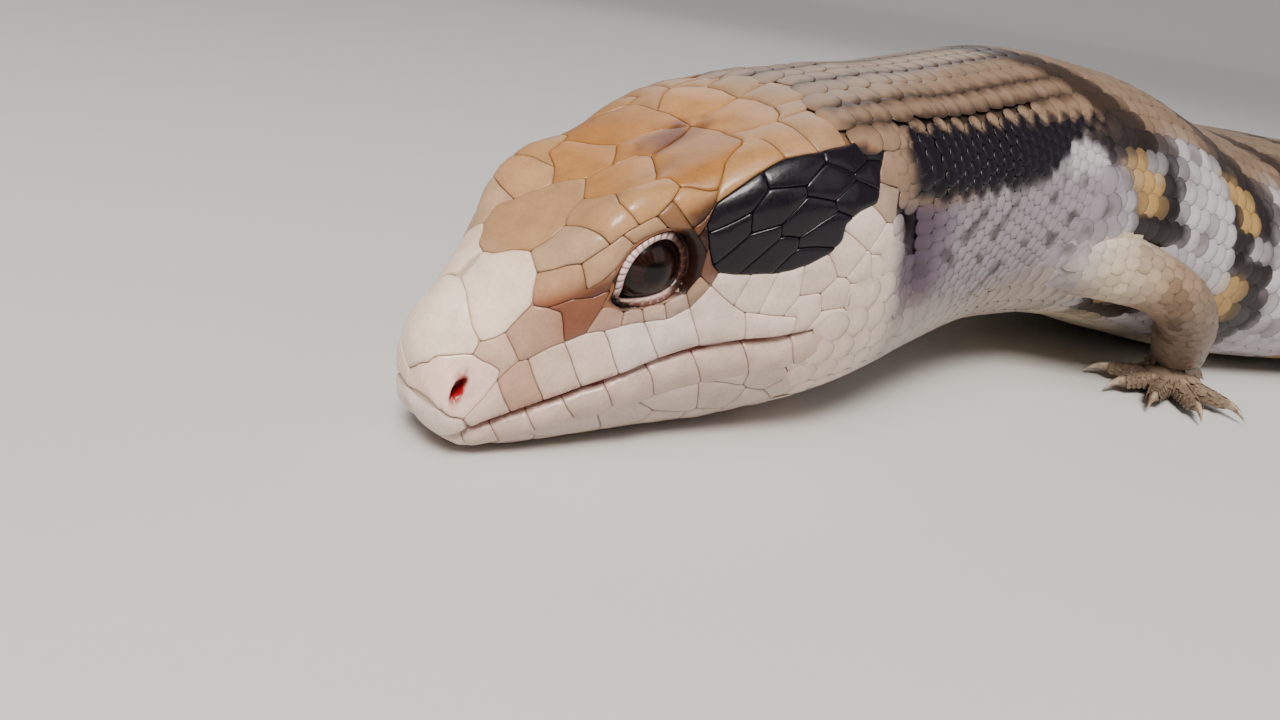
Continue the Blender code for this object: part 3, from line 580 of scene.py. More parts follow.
def tube_faces(rings, sides):
    """Faces of a tube of rings whose ends close on the two points that come after the rings."""
    faces = grid_faces(rings, sides, True)
    for c in range(sides):
        d = (c + 1) % sides
        faces.append((d, c, rings * sides))
        faces.append(((rings - 1) * sides + c, (rings - 1) * sides + d, rings * sides + 1))
    return faces


def near_tree(places):
    """A search tree that finds the nearest of the places."""
    tree = KDTree(len(places))
    for i, place in enumerate(places):
        tree.insert(place, i)
    tree.balance()
    return tree


print("the body takes", MAP_STOPS[-1][1] - MAP_STOPS[0][1], "of the flat map's length")

# %% [markdown]
# ## Finishes
# Reptile scales are horn: smooth, hard and slightly glossy, with a fine grain. A Principled
# shader takes its colour from the points, varies it a little with two noises, darkens it
# towards the edge of each scale, and lets a thin clear coat give the soft highlights.

# %% Materials
SHADE_RANGE = (0.3, 0.7)         # the part of a noise's range that is used
WIDE_GRAIN = 420.0
BUMP_HEIGHT = 0.0001


class Tree:
    """A short way to add nodes to a material or a geometry tree and join them."""

    def __init__(self, tree):
        self.tree = tree

    def add(self, kind, settings=None, **inputs):
        node = self.tree.nodes.new(kind)
        for key, value in (settings or {}).items():
            setattr(node, key, value)
        for key, value in inputs.items():
            self.put(node, key.replace("_", " "), value)
        return node

    def put(self, node, key, value):
        socket = node.inputs[int(key[1:])] if key[0] == "n" and key[1:].isdigit() else node.inputs[key]
        if isinstance(value, bpy.types.NodeSocket):
            self.tree.links.new(value, socket)
        else:
            socket.default_value = value

    def noise(self, place, scale, detail, **inputs):
        """Fine natural noise on the piece's own coordinates."""
        made = self.add("ShaderNodeTexNoise", Vector=place, Scale=scale, Detail=detail, **inputs)
        return made.outputs["Fac"]

    def spread(self, value, low, high, span=SHADE_RANGE):
        """A value stretched from its span to the range from low to high."""
        made = self.add("ShaderNodeMapRange", Value=value, n1=span[0], n2=span[1], n3=low, n4=high)
        return made.outputs[0]

    def times(self, first, second):
        """The product of two values."""
        return self.add("ShaderNodeMath", {"operation": "MULTIPLY"}, n0=first, n1=second).outputs[0]

    def shaded_tint(self, shade):
        """The colour kept at the points of the mesh, made lighter or darker."""
        tint = self.add("ShaderNodeVertexColor", {"layer_name": "tint"}).outputs["Color"]
        return self.add("ShaderNodeVectorMath", {"operation": "SCALE"}, n0=tint, Scale=shade).outputs[0]

    def finish_with(self, **inputs):
        """The shader, with its constant inputs set on their own sockets, and the output."""
        shader = self.add("ShaderNodeBsdfPrincipled", **inputs)
        self.add("ShaderNodeOutputMaterial", Surface=shader.outputs[0])


def new_finish(name):
    """An empty material, the helper that adds its nodes, and the piece's own coordinates."""
    made = bpy.data.materials.new(name)
    made.use_nodes = True
    made.node_tree.nodes.clear()
    t = Tree(made.node_tree)
    return made, t, t.add("ShaderNodeTexCoord").outputs["Object"]


def scale_finish(name, roughness, gloss, mottle, grain_size, edge_dark):
    """A glossy horn finish, coloured from the points of the mesh."""
    made, t, place = new_finish(name)
    edge = t.add("ShaderNodeAttribute", {"attribute_name": "edge"})
    fine = t.noise(place, grain_size, 4.0, Roughness=0.65)
    wide_shade = t.spread(t.noise(place, WIDE_GRAIN, 3.0), 1 - mottle, 1 + mottle)
    fine_shade = t.spread(fine, 1 - mottle * 0.8, 1 + mottle * 0.8)
    rim_shade = t.spread(edge.outputs["Fac"], 1.0, 1 - edge_dark, (0.0, 1.0))
    shade = t.times(t.times(wide_shade, fine_shade), rim_shade)
    bumps = t.add("ShaderNodeBump", Height=fine, Strength=0.25, Distance=BUMP_HEIGHT)
    rough = t.spread(fine, roughness - 0.06, roughness + 0.08)
    t.finish_with(Base_Color=t.shaded_tint(shade), Roughness=rough, Normal=bumps.outputs["Normal"],
                  Coat_Weight=gloss, Coat_Roughness=0.12,
                  Specular_IOR_Level=0.26, Subsurface_Weight=0.0)
    return made


SKIN = scale_finish("skin_under_scales", 0.55, 0.0, 0.10, 1500.0, 0.0)
SHIELD = scale_finish("head_shield_horn", 0.32, 0.20, 0.11, 2600.0, 0.20)
SCALE = scale_finish("body_scale_horn", 0.36, 0.18, 0.10, 1900.0, 0.40)
LID = scale_finish("eyelid_skin", 0.36, 0.2, 0.10, 2600.0, 0.55)
print("finishes:", [m.name for m in bpy.data.materials])

# %% [markdown]
# ## Legs
# A skink's legs are short and stout. Each is an oval tube that bends at the elbow or knee,
# with a flat palm and five toes. The tube follows a path with rounded corners. Toes and palm
# are joined to it by remeshing all of them as one volume, which gives a soft web between.

# %% Sizes and surfaces of the legs
LEGS = {
    "front_left": dict(station=92.0, root=(-1.0, 12.0, 21.5), joint=(-18.0, 32.5, 19.0),
                       ankle=(-32.0, 29.3, 3.2), foot=14.0, kind="front"),
    "front_right": dict(station=92.0, root=(-1.0, -12.0, 21.5), joint=(-14.0, -34.0, 18.0),
                        ankle=(3.0, -44.5, 3.2), foot=-22.0, kind="front"),
    "rear_left": dict(station=294.0, root=(0.0, 13.0, 14.0), joint=(12.0, 38.0, 13.0),
                      ankle=(-10.0, 45.5, 3.4), foot=35.0, kind="rear"),
    "rear_right": dict(station=294.0, root=(0.0, -13.0, 14.0), joint=(8.0, -39.0, 13.0),
                       ankle=(-14.0, -44.0, 3.4), foot=-48.0, kind="rear")}
LEG_GIRTH = {"front": ((6.4, 6.2), (5.2, 5.2), (4.2, 4.2), (4.3, 4.2), (3.3, 3.0)),
             "rear": ((8.6, 7.2), (7.0, 6.2), (5.5, 5.2), (5.0, 4.8), (3.7, 3.3))}
JOINT_RADIUS = 13.0
PALM_SIZE = {"front": (5.6, 4.7, 2.5), "rear": (6.2, 5.0, 2.6)}
PALM_HEIGHT = 2.3
PALM_AHEAD = 2.6
TOES = {"front": ((-62.0, 5.0), (-30.0, 6.4), (-2.0, 7.2), (27.0, 6.6), (62.0, 5.2)),
        "rear": ((-58.0, 5.0), (-28.0, 6.8), (-2.0, 8.0), (24.0, 8.4), (62.0, 5.4))}
TOE_THICK = ((0.0, 1.75), (0.6, 1.55), (1.0, 1.1))
TOE_FLATNESS = 0.84
TOE_HEIGHT = 1.55
TOE_ROOT = 0.55
CLAW_LENGTH = 3.2
CLAW_THICK = 0.75
CLAW_TIP_HEIGHT = 0.55
UP = np.array([0.0, 0.0, 1.0])


def rounded_path(corners, radius, count=9):
    """A path through three corners, the middle one rounded."""
    before, here, after = [np.array(p, float) for p in corners]
    reach_in = min(radius, np.linalg.norm(here - before) * 0.48)
    reach_out = min(radius, np.linalg.norm(after - here) * 0.48)
    start = here + unit(before - here) * reach_in
    end = here + unit(after - here) * reach_out
    t = np.linspace(0, 1, count)[:, None]
    bend = start * (1 - t) ** 2 + here * 2 * t * (1 - t) + end * t ** 2
    return np.vstack([before, bend, after])


class Limb:
    """A tube along a path, with half widths and half heights at some distances."""

    def __init__(self, path, widths, heights):
        self.path = path
        self.lengths = path_lengths(path)
        self.total = self.lengths[-1]
        self.widths, self.heights = widths, heights

    def at(self, d):
        """The point of the path at a distance."""
        return np.stack([np.interp(d, self.lengths, self.path[:, i]) for i in range(3)], -1)

    def frames(self, d):
        """The point, and the directions forward, to the side and up."""
        forward = unit(self.at(np.minimum(d + 0.8, self.total)) - self.at(np.maximum(d - 0.8, 0)))
        side = unit(np.cross(UP, forward))
        return self.at(d), forward, side, np.cross(forward, side)

    def surface(self, d, angle, lift=0.0):
        """Points of the tube at angles from its top."""
        d, angle = np.broadcast_arrays(np.asarray(d, float), np.asarray(angle, float))
        point, _, side, up = self.frames(d)
        across = (ease(self.widths, d) + lift) * np.sin(angle)
        rise = (ease(self.heights, d) + lift) * np.cos(angle)
        place = point + side * across[..., None] + up * rise[..., None]
        place[..., 2] = np.maximum(place[..., 2], 0.0)
        return place

    def girth(self, d):
        """The way round the tube."""
        return pi * (ease(self.widths, d) + ease(self.heights, d))


def toe_parts(toe, kind, centre, pointing):
    """The tube of a toe and its direction, from its angle and length."""
    turned, length = radians(toe[0]), toe[1]
    beside = np.cross(UP, pointing)
    long, wide, _ = PALM_SIZE[kind]
    toward = pointing * cos(turned) + beside * sin(turned)
    base = centre + (pointing * long * cos(turned) + beside * wide * sin(turned)) * TOE_ROOT
    base[2] = TOE_HEIGHT
    reach = length + long * (1 - TOE_ROOT)
    widths = [(t * reach, w) for t, w in TOE_THICK]
    heights = [(t * reach, w * TOE_FLATNESS) for t, w in TOE_THICK]
    return Limb(np.array([base, base + toward * reach]), widths, heights), toward


def leg_parts(leg):
    """The tube of a leg, its palm's centre, its pointing direction and its toes."""
    point, back, left, up = spine_frames(np.array(leg["station"]))
    forward = unit(np.array([-back[0], -back[1], 0.0]))
    side = np.array([left[0], left[1], 0.0])
    ground = np.array([point[0], point[1], 0.0])
    corners = [ground + forward * ahead + side * out + UP * high
               for ahead, out, high in (leg["root"], leg["joint"], leg["ankle"])]
    path = rounded_path(corners, JOINT_RADIUS)
    lengths = path_lengths(path)
    joint, total = lengths[len(path) // 2], lengths[-1]
    marks = (0.0, joint * 0.55, joint, (joint + total) * 0.5, total)
    girth = LEG_GIRTH[leg["kind"]]
    tube = Limb(path, [(m, g[0]) for m, g in zip(marks, girth)], [(m, g[1]) for m, g in zip(marks, girth)])
    turned = radians(leg["foot"])
    pointing = forward * cos(turned) + side * sin(turned)
    centre = corners[-1] + pointing * PALM_AHEAD
    centre[2] = PALM_HEIGHT
    toes = [toe_parts(toe, leg["kind"], centre, pointing) for toe in TOES[leg["kind"]]]
    return tube, centre, pointing, toes


LEG_PARTS = {label: leg_parts(leg) for label, leg in LEGS.items()}
LEG_LABELS = list(LEGS)
COAT_DEPTH = 0.35                # how far the skin lies under the tops of the scales
TOE_COAT = 0.2
PALM_RINGS, PALM_SIDES = 14, 24
REMESH_STEP = 0.5


def limb_mesh(name, limb, step, sides, thin):
    """A closed tube, as part of a leg's skin, thinner than the limb by the coat's depth."""
    end = np.array(limb.total)
    d = np.linspace(0.0, limb.total, max(4, int(limb.total / step)))
    ring_d, ring_angle = np.meshgrid(d, np.linspace(0, 2 * pi, sides, endpoint=False), indexing="ij")
    points = limb.surface(ring_d, ring_angle, -thin).reshape(-1, 3)
    tip = limb.at(end) + limb.frames(end)[1] * 0.5
    return make_mesh(name, np.vstack([points, limb.at(np.array(0.0)), tip]), tube_faces(len(d), sides))


def palm_mesh(name, centre, pointing, sizes):
    """A flattened ball for the palm."""
    beside = np.cross(UP, pointing)
    around = np.linspace(0, 2 * pi, PALM_SIDES, endpoint=False)
    turn_round, polar = np.meshgrid(around, np.linspace(0.12, pi - 0.12, PALM_RINGS))
    points = (centre + pointing * (sizes[0] * np.sin(polar) * np.cos(turn_round))[..., None]
              + beside * (sizes[1] * np.sin(polar) * np.sin(turn_round))[..., None]
              + UP * (sizes[2] * np.cos(polar))[..., None]).reshape(-1, 3)
    points[:, 2] = np.maximum(points[:, 2], 0.0)
    first, last = range(PALM_SIDES)[::-1], range((PALM_RINGS - 1) * PALM_SIDES, PALM_RINGS * PALM_SIDES)
    return make_mesh(name, points, grid_faces(PALM_RINGS, PALM_SIDES, True) + [tuple(first), tuple(last)])


def face_out(made):
    """Merge doubles and point the faces outward."""
    work = bmesh.new()
    work.from_mesh(made.data)
    bmesh.ops.remove_doubles(work, verts=work.verts, dist=1e-6)
    bmesh.ops.recalc_face_normals(work, faces=work.faces)
    work.to_mesh(made.data)
    work.free()


def apply_modifiers(made):
    """Turn a piece with modifiers into a plain mesh."""
    graph = bpy.context.evaluated_depsgraph_get()
    fresh = bpy.data.meshes.new_from_object(made.evaluated_get(graph), preserve_all_data_layers=True,
                                            depsgraph=graph)
    made.modifiers.clear()
    old = made.data
    made.data = fresh
    bpy.data.meshes.remove(old)


def leg_skin(label):
    """One leg's skin as a single closed surface."""
    tube, centre, pointing, toes = LEG_PARTS[label]
    palm = [size - TOE_COAT for size in PALM_SIZE[LEGS[label]["kind"]]]
    parts = [limb_mesh("leg", tube, 1.2, 28, COAT_DEPTH), palm_mesh("palm", centre, pointing, palm)]
    for toe, toward in toes:
        parts.append(limb_mesh("toe", toe, 0.8, 14, TOE_COAT))
    for part in parts:
        face_out(part)
    bpy.ops.object.select_all(action="DESELECT")
    for part in parts:
        part.select_set(True)
    bpy.context.view_layer.objects.active = parts[0]
    bpy.ops.object.join()
    leg = parts[0]
    remesh = leg.modifiers.new("remesh", "REMESH")
    remesh.mode = "VOXEL"
    remesh.voxel_size = REMESH_STEP * MM
    smooth = leg.modifiers.new("smooth", "SMOOTH")
    smooth.factor = 0.5
    smooth.iterations = 5
    apply_modifiers(leg)
    return leg


print("lengths of the legs, mm:", {label: round(float(parts[0].total)) for label, parts in LEG_PARTS.items()})

# %% [markdown]
# ## One skin
# Under the scales lies a single closed skin. On the body it is rings of points along the
# spine line, closed at the nose and at the tail's tip. The legs are joined to it with a
# Boolean union, and the corner where they meet is smoothed, as soft skin there is.

# %% The skin of the body and legs
SKIN_SIDES = 176
SKIN_LOWEST = 0.05
SOCKET_SPOT, SOCKET_REACH, SOCKET_DEPTH = (25.2, 19.2), (5.3, 4.1), 2.4
skin_s = np.concatenate([[0.15, 0.45, 0.8, 1.2, 1.65, 2.1, 2.55], np.arange(3.0, 60.0, 0.45),
                         np.arange(60.0, 510.0, 2.2), [511.0]])
ring_s, ring_share = np.meshgrid(skin_s, np.linspace(-1, 1, SKIN_SIDES, endpoint=False), indexing="ij")
ring_a = ring_share * half_girth(ring_s)
round_socket = np.hypot((ring_s - SOCKET_SPOT[0]) / SOCKET_REACH[0],
                        (np.abs(ring_a) - SOCKET_SPOT[1]) / SOCKET_REACH[1])
skin_lift = -COAT_DEPTH - SOCKET_DEPTH * (1 - smooth_step(0.85, 1.05, round_socket))
skin_points = surface(ring_s, ring_a, skin_lift).reshape(-1, 3)
skin_points[:, 2] = np.maximum(skin_points[:, 2], SKIN_LOWEST)
nose_tip = TABLE[0].mean(axis=0) + np.array([-0.2, 0, 0])
skin_points = np.vstack([skin_points, nose_tip, TABLE[-1].mean(axis=0)])
skin = make_mesh("skin", skin_points, tube_faces(len(skin_s), SKIN_SIDES))
face_out(skin)
legs = [leg_skin(label) for label in LEGS]
print("skin before the legs:", len(skin.data.polygons), "faces; legs:", [len(o.data.polygons) for o in legs])


def join_legs(body, limbs):
    """Join the legs to the body's skin in one closed surface."""
    group = bpy.data.collections.new("limbs")
    for limb in limbs:
        group.objects.link(limb)
    modifier = body.modifiers.new("join", "BOOLEAN")
    modifier.operand_type = "COLLECTION"
    modifier.collection = group
    modifier.operation = "UNION"
    modifier.solver = "MANIFOLD"
    apply_modifiers(body)
    for limb in limbs:
        bpy.data.objects.remove(limb)
    bpy.data.collections.remove(group)


join_legs(skin, legs)
print("joined skin:", len(skin.data.polygons), "faces")

# %% Round off the corners where legs meet the body, and colour the skin
SOFT_CORNER = 0.45              # radians between faces that count as a corner
SOFT_REACH = 3.2                # millimetres round a corner that are smoothed
SOFT_ROUNDS = 14
ROOT_REACH = 20.0               # millimetres round a leg's root where corners are looked for


def soften_corners(made):
    """Smooth the skin near the sharp corners of the leg roots."""
    work = bmesh.new()
    work.from_mesh(made.data)
    tubes = [parts[0] for parts in LEG_PARTS.values()]
    roots = [Vector((tube.at(np.array(tube.total * 0.3)) + SHIFT) * MM) for tube in tubes]
    sharp = []
    for edge in work.edges:
        if len(edge.link_faces) == 2 and edge.calc_face_angle(0.0) > SOFT_CORNER:
            place = edge.verts[0].co
            if min((place - root).length for root in roots) < ROOT_REACH * MM and place.z > 2 * MM:
                sharp.append(place.copy())
    tree = near_tree(sharp)
    near = [v for v in work.verts if tree.find(v.co)[2] < SOFT_REACH * MM]
    for _ in range(SOFT_ROUNDS):
        bmesh.ops.smooth_vert(work, verts=near, factor=0.5, use_axis_x=True, use_axis_y=True, use_axis_z=True)
    work.to_mesh(made.data)
    work.free()
    return len(near)


LEG_STRIP = 0.052               # a leg's strip of the flat map
LEG_STRIPS_FROM = 0.78
FOOT_SCALE = 0.0013
FOOT_NUMBERS = 10
# painted shade: the skin under the scales is coloured darker for the shade in the gaps, by a factor falling
# from the nose back along the body, and by fixed factors on the legs and feet
SKIN_GAP_SHADE = ((0, 45, 60), (0.74, 0.66, 0.42))
LEG_GAP_SHADE, FOOT_GAP_SHADE = 0.45, 0.75


def leg_map(number, limb, d, angle):
    """Flat map places of a leg's tube."""
    turned = (angle % (2 * pi)) / (2 * pi)
    u = 0.01 + 0.44 * d / limb.total
    return np.stack([u, LEG_STRIPS_FROM + LEG_STRIP * number + 0.045 * turned], -1)


def foot_map(number, places, under):
    """Flat map places of a foot, its top and its sole side by side."""
    tube, centre, pointing, toes = LEG_PARTS[LEG_LABELS[number]]
    away = places - centre
    ahead = away @ pointing
    beside = away @ np.cross(UP, pointing)
    u = 0.50 + 0.10 * under + FOOT_SCALE * (ahead + 14)
    return np.stack([u, LEG_STRIPS_FROM + LEG_STRIP * number + FOOT_SCALE * (beside + 17)], -1)


ROOT_WHITE = (0.36, 0.33, 0.34)
LEG_CREAM = (0.50, 0.42, 0.33)
# grey-brown of the lower leg, partly darkened as painted shade
LEG_GREY_SHADED = (0.21, 0.16, 0.125)
LEG_MOTTLE = (0.10, 0.066, 0.045)
ELBOW_BROWN = (0.26, 0.17, 0.10)
FOOT_TAN = (0.30, 0.23, 0.17)
TOE_TAN = (0.25, 0.19, 0.14)
FOOT_MOTTLE = (0.13, 0.09, 0.065)


def leg_colours(number, share, angle, d):
    """Colours of a leg: cream at the shoulder, brown and mottled at the elbow and the hand, the lower leg
    partly darkened as painted shade.
    """
    colour = mix(LEG_CREAM, LEG_GREY_SHADED, smooth_step(0.35, 0.65, share))
    colour = mix(ROOT_WHITE, colour, smooth_step(0.14, 0.30, share))
    mottled = smooth_step(0.15, 0.75, ripple(d + 31.0 * number, angle * 5.0, 3.4, 2.0 + number))
    colour = mix(colour, LEG_MOTTLE, mottled * (0.35 + 0.4 * smooth_step(0.2, 0.6, share)))
    return mix(colour, ELBOW_BROWN, 0.6 * np.exp(-((share - 0.48) / 0.1) ** 2))


def foot_colours(places, number):
    """Colours of a foot, tan with darker toes."""
    tube, centre, pointing, toes = LEG_PARTS[LEG_LABELS[number]]
    away = np.linalg.norm(places - centre, axis=-1)
    mottled = smooth_step(0.3, 0.8, ripple(places[..., 0], places[..., 1], 2.2, 6.0))
    return mix(mix(FOOT_TAN, TOE_TAN, smooth_step(4, 12, away)), FOOT_MOTTLE, 0.5 * mottled)


def ring_samples(number, points, d, angle):
    """Places on a limb, each with its number, distance along the limb and angle."""
    return points.reshape(-1, 3), np.column_stack([np.full(d.size, float(number)), d.ravel(), angle.ravel()])


def known_places():
    """Places whose position on the body, a leg (0 to 3) or a foot (10 to 13) is known."""
    found = [ring_samples(-1, skin_points, np.append(ring_s, [0.1, 511.5]), np.append(ring_a, [0.0, 0.0]))]
    for number, label in enumerate(LEG_LABELS):
        tube, centre, pointing, toes = LEG_PARTS[label]
        around = np.linspace(0, 2 * pi, 24, endpoint=False)
        d, angle = np.meshgrid(np.linspace(0, tube.total - 1.5, 40), around)
        found.append(ring_samples(number, tube.surface(d, angle, -COAT_DEPTH), d, angle))
        for toe, toward in toes:
            d, angle = np.meshgrid(np.linspace(1.5, toe.total, 10), np.linspace(0, 2 * pi, 8, endpoint=False))
            found.append(ring_samples(FOOT_NUMBERS + number, toe.surface(d, angle, -TOE_COAT), d, angle))
        palm = centre + np.array([(x, y, z) for x in (-4, 0, 4) for y in (-4, 0, 4) for z in (-2, 2)])
        found.append(ring_samples(FOOT_NUMBERS + number, palm, np.zeros(len(palm)), np.zeros(len(palm))))
    return [np.vstack(part) for part in zip(*found)]


def close_map_seam(made):
    """Faces that cross the middle line of the belly get all their corners on one side of the map."""
    layer = made.data.uv_layers["OFBake"]
    uv = np.zeros(len(made.data.loops) * 2, np.float32)
    layer.data.foreach_get("uv", uv)
    uv = uv.reshape(-1, 2)
    for face in made.data.polygons:
        loops = list(face.loop_indices)
        v = uv[loops, 1]
        if v.max() - v.min() > 0.3 and v.max() < LEG_STRIPS_FROM:
            for k in loops:
                if uv[k, 1] < 0.4:
                    uv[k, 1] = MAP_BODY[1] + 0.004
    layer.data.foreach_set("uv", uv.ravel())


def dress_skin(made):
    """Give each point of the skin its colour and its place on the flat map."""
    count = len(made.data.vertices)
    places = np.zeros(count * 3)
    made.data.vertices.foreach_get("co", places)
    places = places.reshape(-1, 3) / MM - SHIFT
    samples, facts = known_places()
    tree = near_tree(samples)
    facts = facts[np.array([tree.find(place)[1] for place in places])]
    colours, maps = np.zeros((count, 3)), np.zeros((count, 2))
    body = facts[:, 0] == -1
    s, a = facts[body, 1], facts[body, 2]
    in_mouth = (np.exp(-((np.abs(a) - mouth_arc(s)) / 0.6) ** 2) * (1 - smooth_step(36, 42, s)))[:, None]
    # painted shade in the gaps between scales
    shaded = markings(s, a) * np.interp(s, *SKIN_GAP_SHADE)[:, None]
    colours[body] = shaded * (1 - in_mouth) + np.array(MOUTH_PINK) * in_mouth
    maps[body] = map_places(s, a)
    for number, label in enumerate(LEG_LABELS):
        tube = LEG_PARTS[label][0]
        here = facts[:, 0] == number
        d, angle = facts[here, 1], facts[here, 2]
        colours[here] = LEG_GAP_SHADE * leg_colours(number, d / tube.total, angle, d)
        maps[here] = leg_map(number, tube, d, angle)
        here = facts[:, 0] == FOOT_NUMBERS + number
        colours[here] = FOOT_GAP_SHADE * foot_colours(places[here], number)
        maps[here] = foot_map(number, places[here], places[here, 2] < 1.5)
    write_tint(made.data, colours)
    set_map(made.data, maps)
    close_map_seam(made)
    return facts


print("softened points:", soften_corners(skin))
SKIN_FACTS = dress_skin(skin)
skin.data.materials.clear()
skin.data.materials.append(SKIN)
skin.data.shade_smooth()
skin_tree = BVHTree.FromPolygons([v.co / MM - Vector(SHIFT) for v in skin.data.vertices],
                                 [tuple(f.vertices) for f in skin.data.polygons])
print("skin:", len(skin.data.vertices), "points")

# %% [markdown]
# ## Head shields
# The head of a skink is covered by large flat shields, the same on both sides, each with its
# own name. Their seams are read here as corner places (distance from the nose, way round from
# the crown), so that neighbours share each corner and no gap opens. Each shield is then a
# thin closed plate: its outline is rounded and drawn in by half a seam, its top is filled with
# points whose height rises quickly from the edge, and it follows the form beneath.

# %% Corners of the seams
SEAM_PLACES = {
    "nas0": (0.3, 0), "nas1": (1.0, 0), "na": (1.3, 1.4), "nb": (2.1, 3.7), "nc": (4.0, 6.0),
    "nd": (6.1, 8.0), "ne": (7.3, 10.1), "nf": (7.9, 11.8), "ng": (7.4, 12.4), "nl1": (5.3, 12.7),
    "nl0": (3.3, 12.4), "nr1": (2.2, 10.2), "nr0": (1.2, 6.6), "fn0": (8.8, 0.5), "fn1": (8.4, 2.3),
    "fn2": (7.6, 4.2), "fn3": (7.1, 5.9), "fn4": (7.2, 7.5), "pm": (10.4, 0.6), "fr0": (12.2, 0),
    "fr1": (12.6, 1.7), "fr2": (14.0, 3.2), "fr3": (15.1, 5.1), "fr4": (17.1, 5.9), "fr5": (19.1, 5.9),
    "fr6": (20.3, 4.7), "fr7": (21.5, 3.9), "fr8": (23.1, 3.5), "fr9": (24.5, 1.7), "fr10": (25.8, 0),
    "so0": (14.2, 7.6), "pf1": (13.1, 8.5), "lo0": (12.5, 9.5), "lo1": (10.5, 9.2), "lo2": (9.5, 9.0),
    "sc1": (15.3, 8.7), "sc2": (16.4, 9.7), "sc3": (17.5, 11.2), "sc4": (19.4, 12.4),
    "sc5": (20.4, 12.9), "sc6": (22.0, 13.4), "sc7": (23.9, 13.8), "sc8": (26.0, 13.8),
    "sc9": (28.1, 12.8), "sc10": (29.7, 11.8), "sa1": (19.4, 7.5), "sa2": (19.7, 10.0),
    "sb1": (24.2, 8.2), "sb2": (23.3, 10.2), "sb3": (23.3, 11.6), "fp0": (24.1, 6.0), "fp1": (24.6, 7.1),
    "fp2": (26.0, 7.9), "fp3": (27.6, 8.5), "fp4": (28.8, 9.0), "fp5": (30.2, 7.1), "fp6": (31.1, 5.6),
    "fp7": (32.3, 3.7), "fp8": (32.9, 2.3), "fp9": (32.3, 0.9), "ip0": (29.3, 0), "ip1": (40.3, 0),
    "ipa": (35.2, 2.0), "ipb": (38.1, 1.2), "so4": (29.8, 9.8), "pa0": (40.7, 2.6), "pa1": (40.9, 4.8),
    "pa2": (40.4, 6.5), "pa3": (39.7, 9.6), "pa4": (38.8, 10.5), "pa5": (37.3, 11.0),
    "pa6": (35.4, 11.9), "pa7": (33.8, 13.3), "pa8": (33.0, 14.0), "pb1": (32.3, 13.7),
    "pb2": (30.8, 12.4), "po1": (32.2, 15.1), "po2": (30.7, 15.9), "po3": (29.4, 16.2),
    "nu1": (43.0, 8.9), "nu2": (44.7, 9.5), "nu3": (46.2, 8.2), "nu4": (47.3, 6.0), "nu5": (47.7, 3.0),
    "nu6": (47.2, 0), "nu7": (52.0, 7.0), "nu8": (53.2, 3.6), "nu9": (52.6, 0), "nu10": (49.0, 9.4),
    "tp1": (36.5, 15.15), "tp2": (40.6, 15.4), "tp3": (44.3, 16.7), "tp4": (44.6, 12.8),
    "tp5": (41.0, 11.2), "tp6": (48.6, 16.5), "tp7": (49.4, 12.8), "tp8": (40.8, 13.2),
    "ey1": (17.6, 14.2), "ey2": (19.2, 15.4), "ey3": (20.8, 15.9), "ey4": (23.0, 15.3),
    "ey5": (26.8, 15.4), "ey6": (29.2, 16.3), "pr1": (13.8, 11.2), "pr2": (14.8, 13.2),
    "pr3": (14.8, 14.6), "pr4": (16.2, 13.3), "pr5": (18.2, 16.0), "pr6": (19.9, 17.6),
    "lc0": (9.6, 10.6), "lc1": (10.0, 12.9), "lt2": (9.0, 12.5), "lt3": (10.9, 13.7),
    "lt4": (13.1, 15.1), "lt5": (14.6, 16.3), "lt6": (16.8, 18.4), "lt7": (18.6, 20.8),
    "lt8": (20.4, 22.4), "lt9": (22.9, 24.4), "lt10": (25.4, 25.5), "lt11": (27.9, 25.0),
    "lt12": (30.3, 23.4), "su1": (18.9, 18.4), "su2": (21.0, 21.3), "su3": (23.0, 22.8),
    "su4": (25.3, 23.5), "su5": (27.7, 23.2), "su6": (29.4, 21.8), "su7": (30.2, 19.4)}
MOUTH_STOPS = {"m1": 3.9, "m2": 8.0, "m3": 11.3, "m4": 15.5, "m5": 19.5, "m6": 24.0, "m7": 28.6,
               "m8": 33.6, "m9": 38.6, "m10": 42.5}
RIGHT_PLACES = {"fp8": (32.4, 3.6), "fp9": (30.8, 1.6), "fr8": (23.0, 2.7), "fp0": (24.2, 4.3),
                "fp1": (25.0, 5.4), "fr7": (21.6, 3.2), "ipa": (35.4, 3.3), "ipb": (38.2, 2.2),
                "fr6": (20.3, 4.0), "fr5": (19.0, 4.5)}

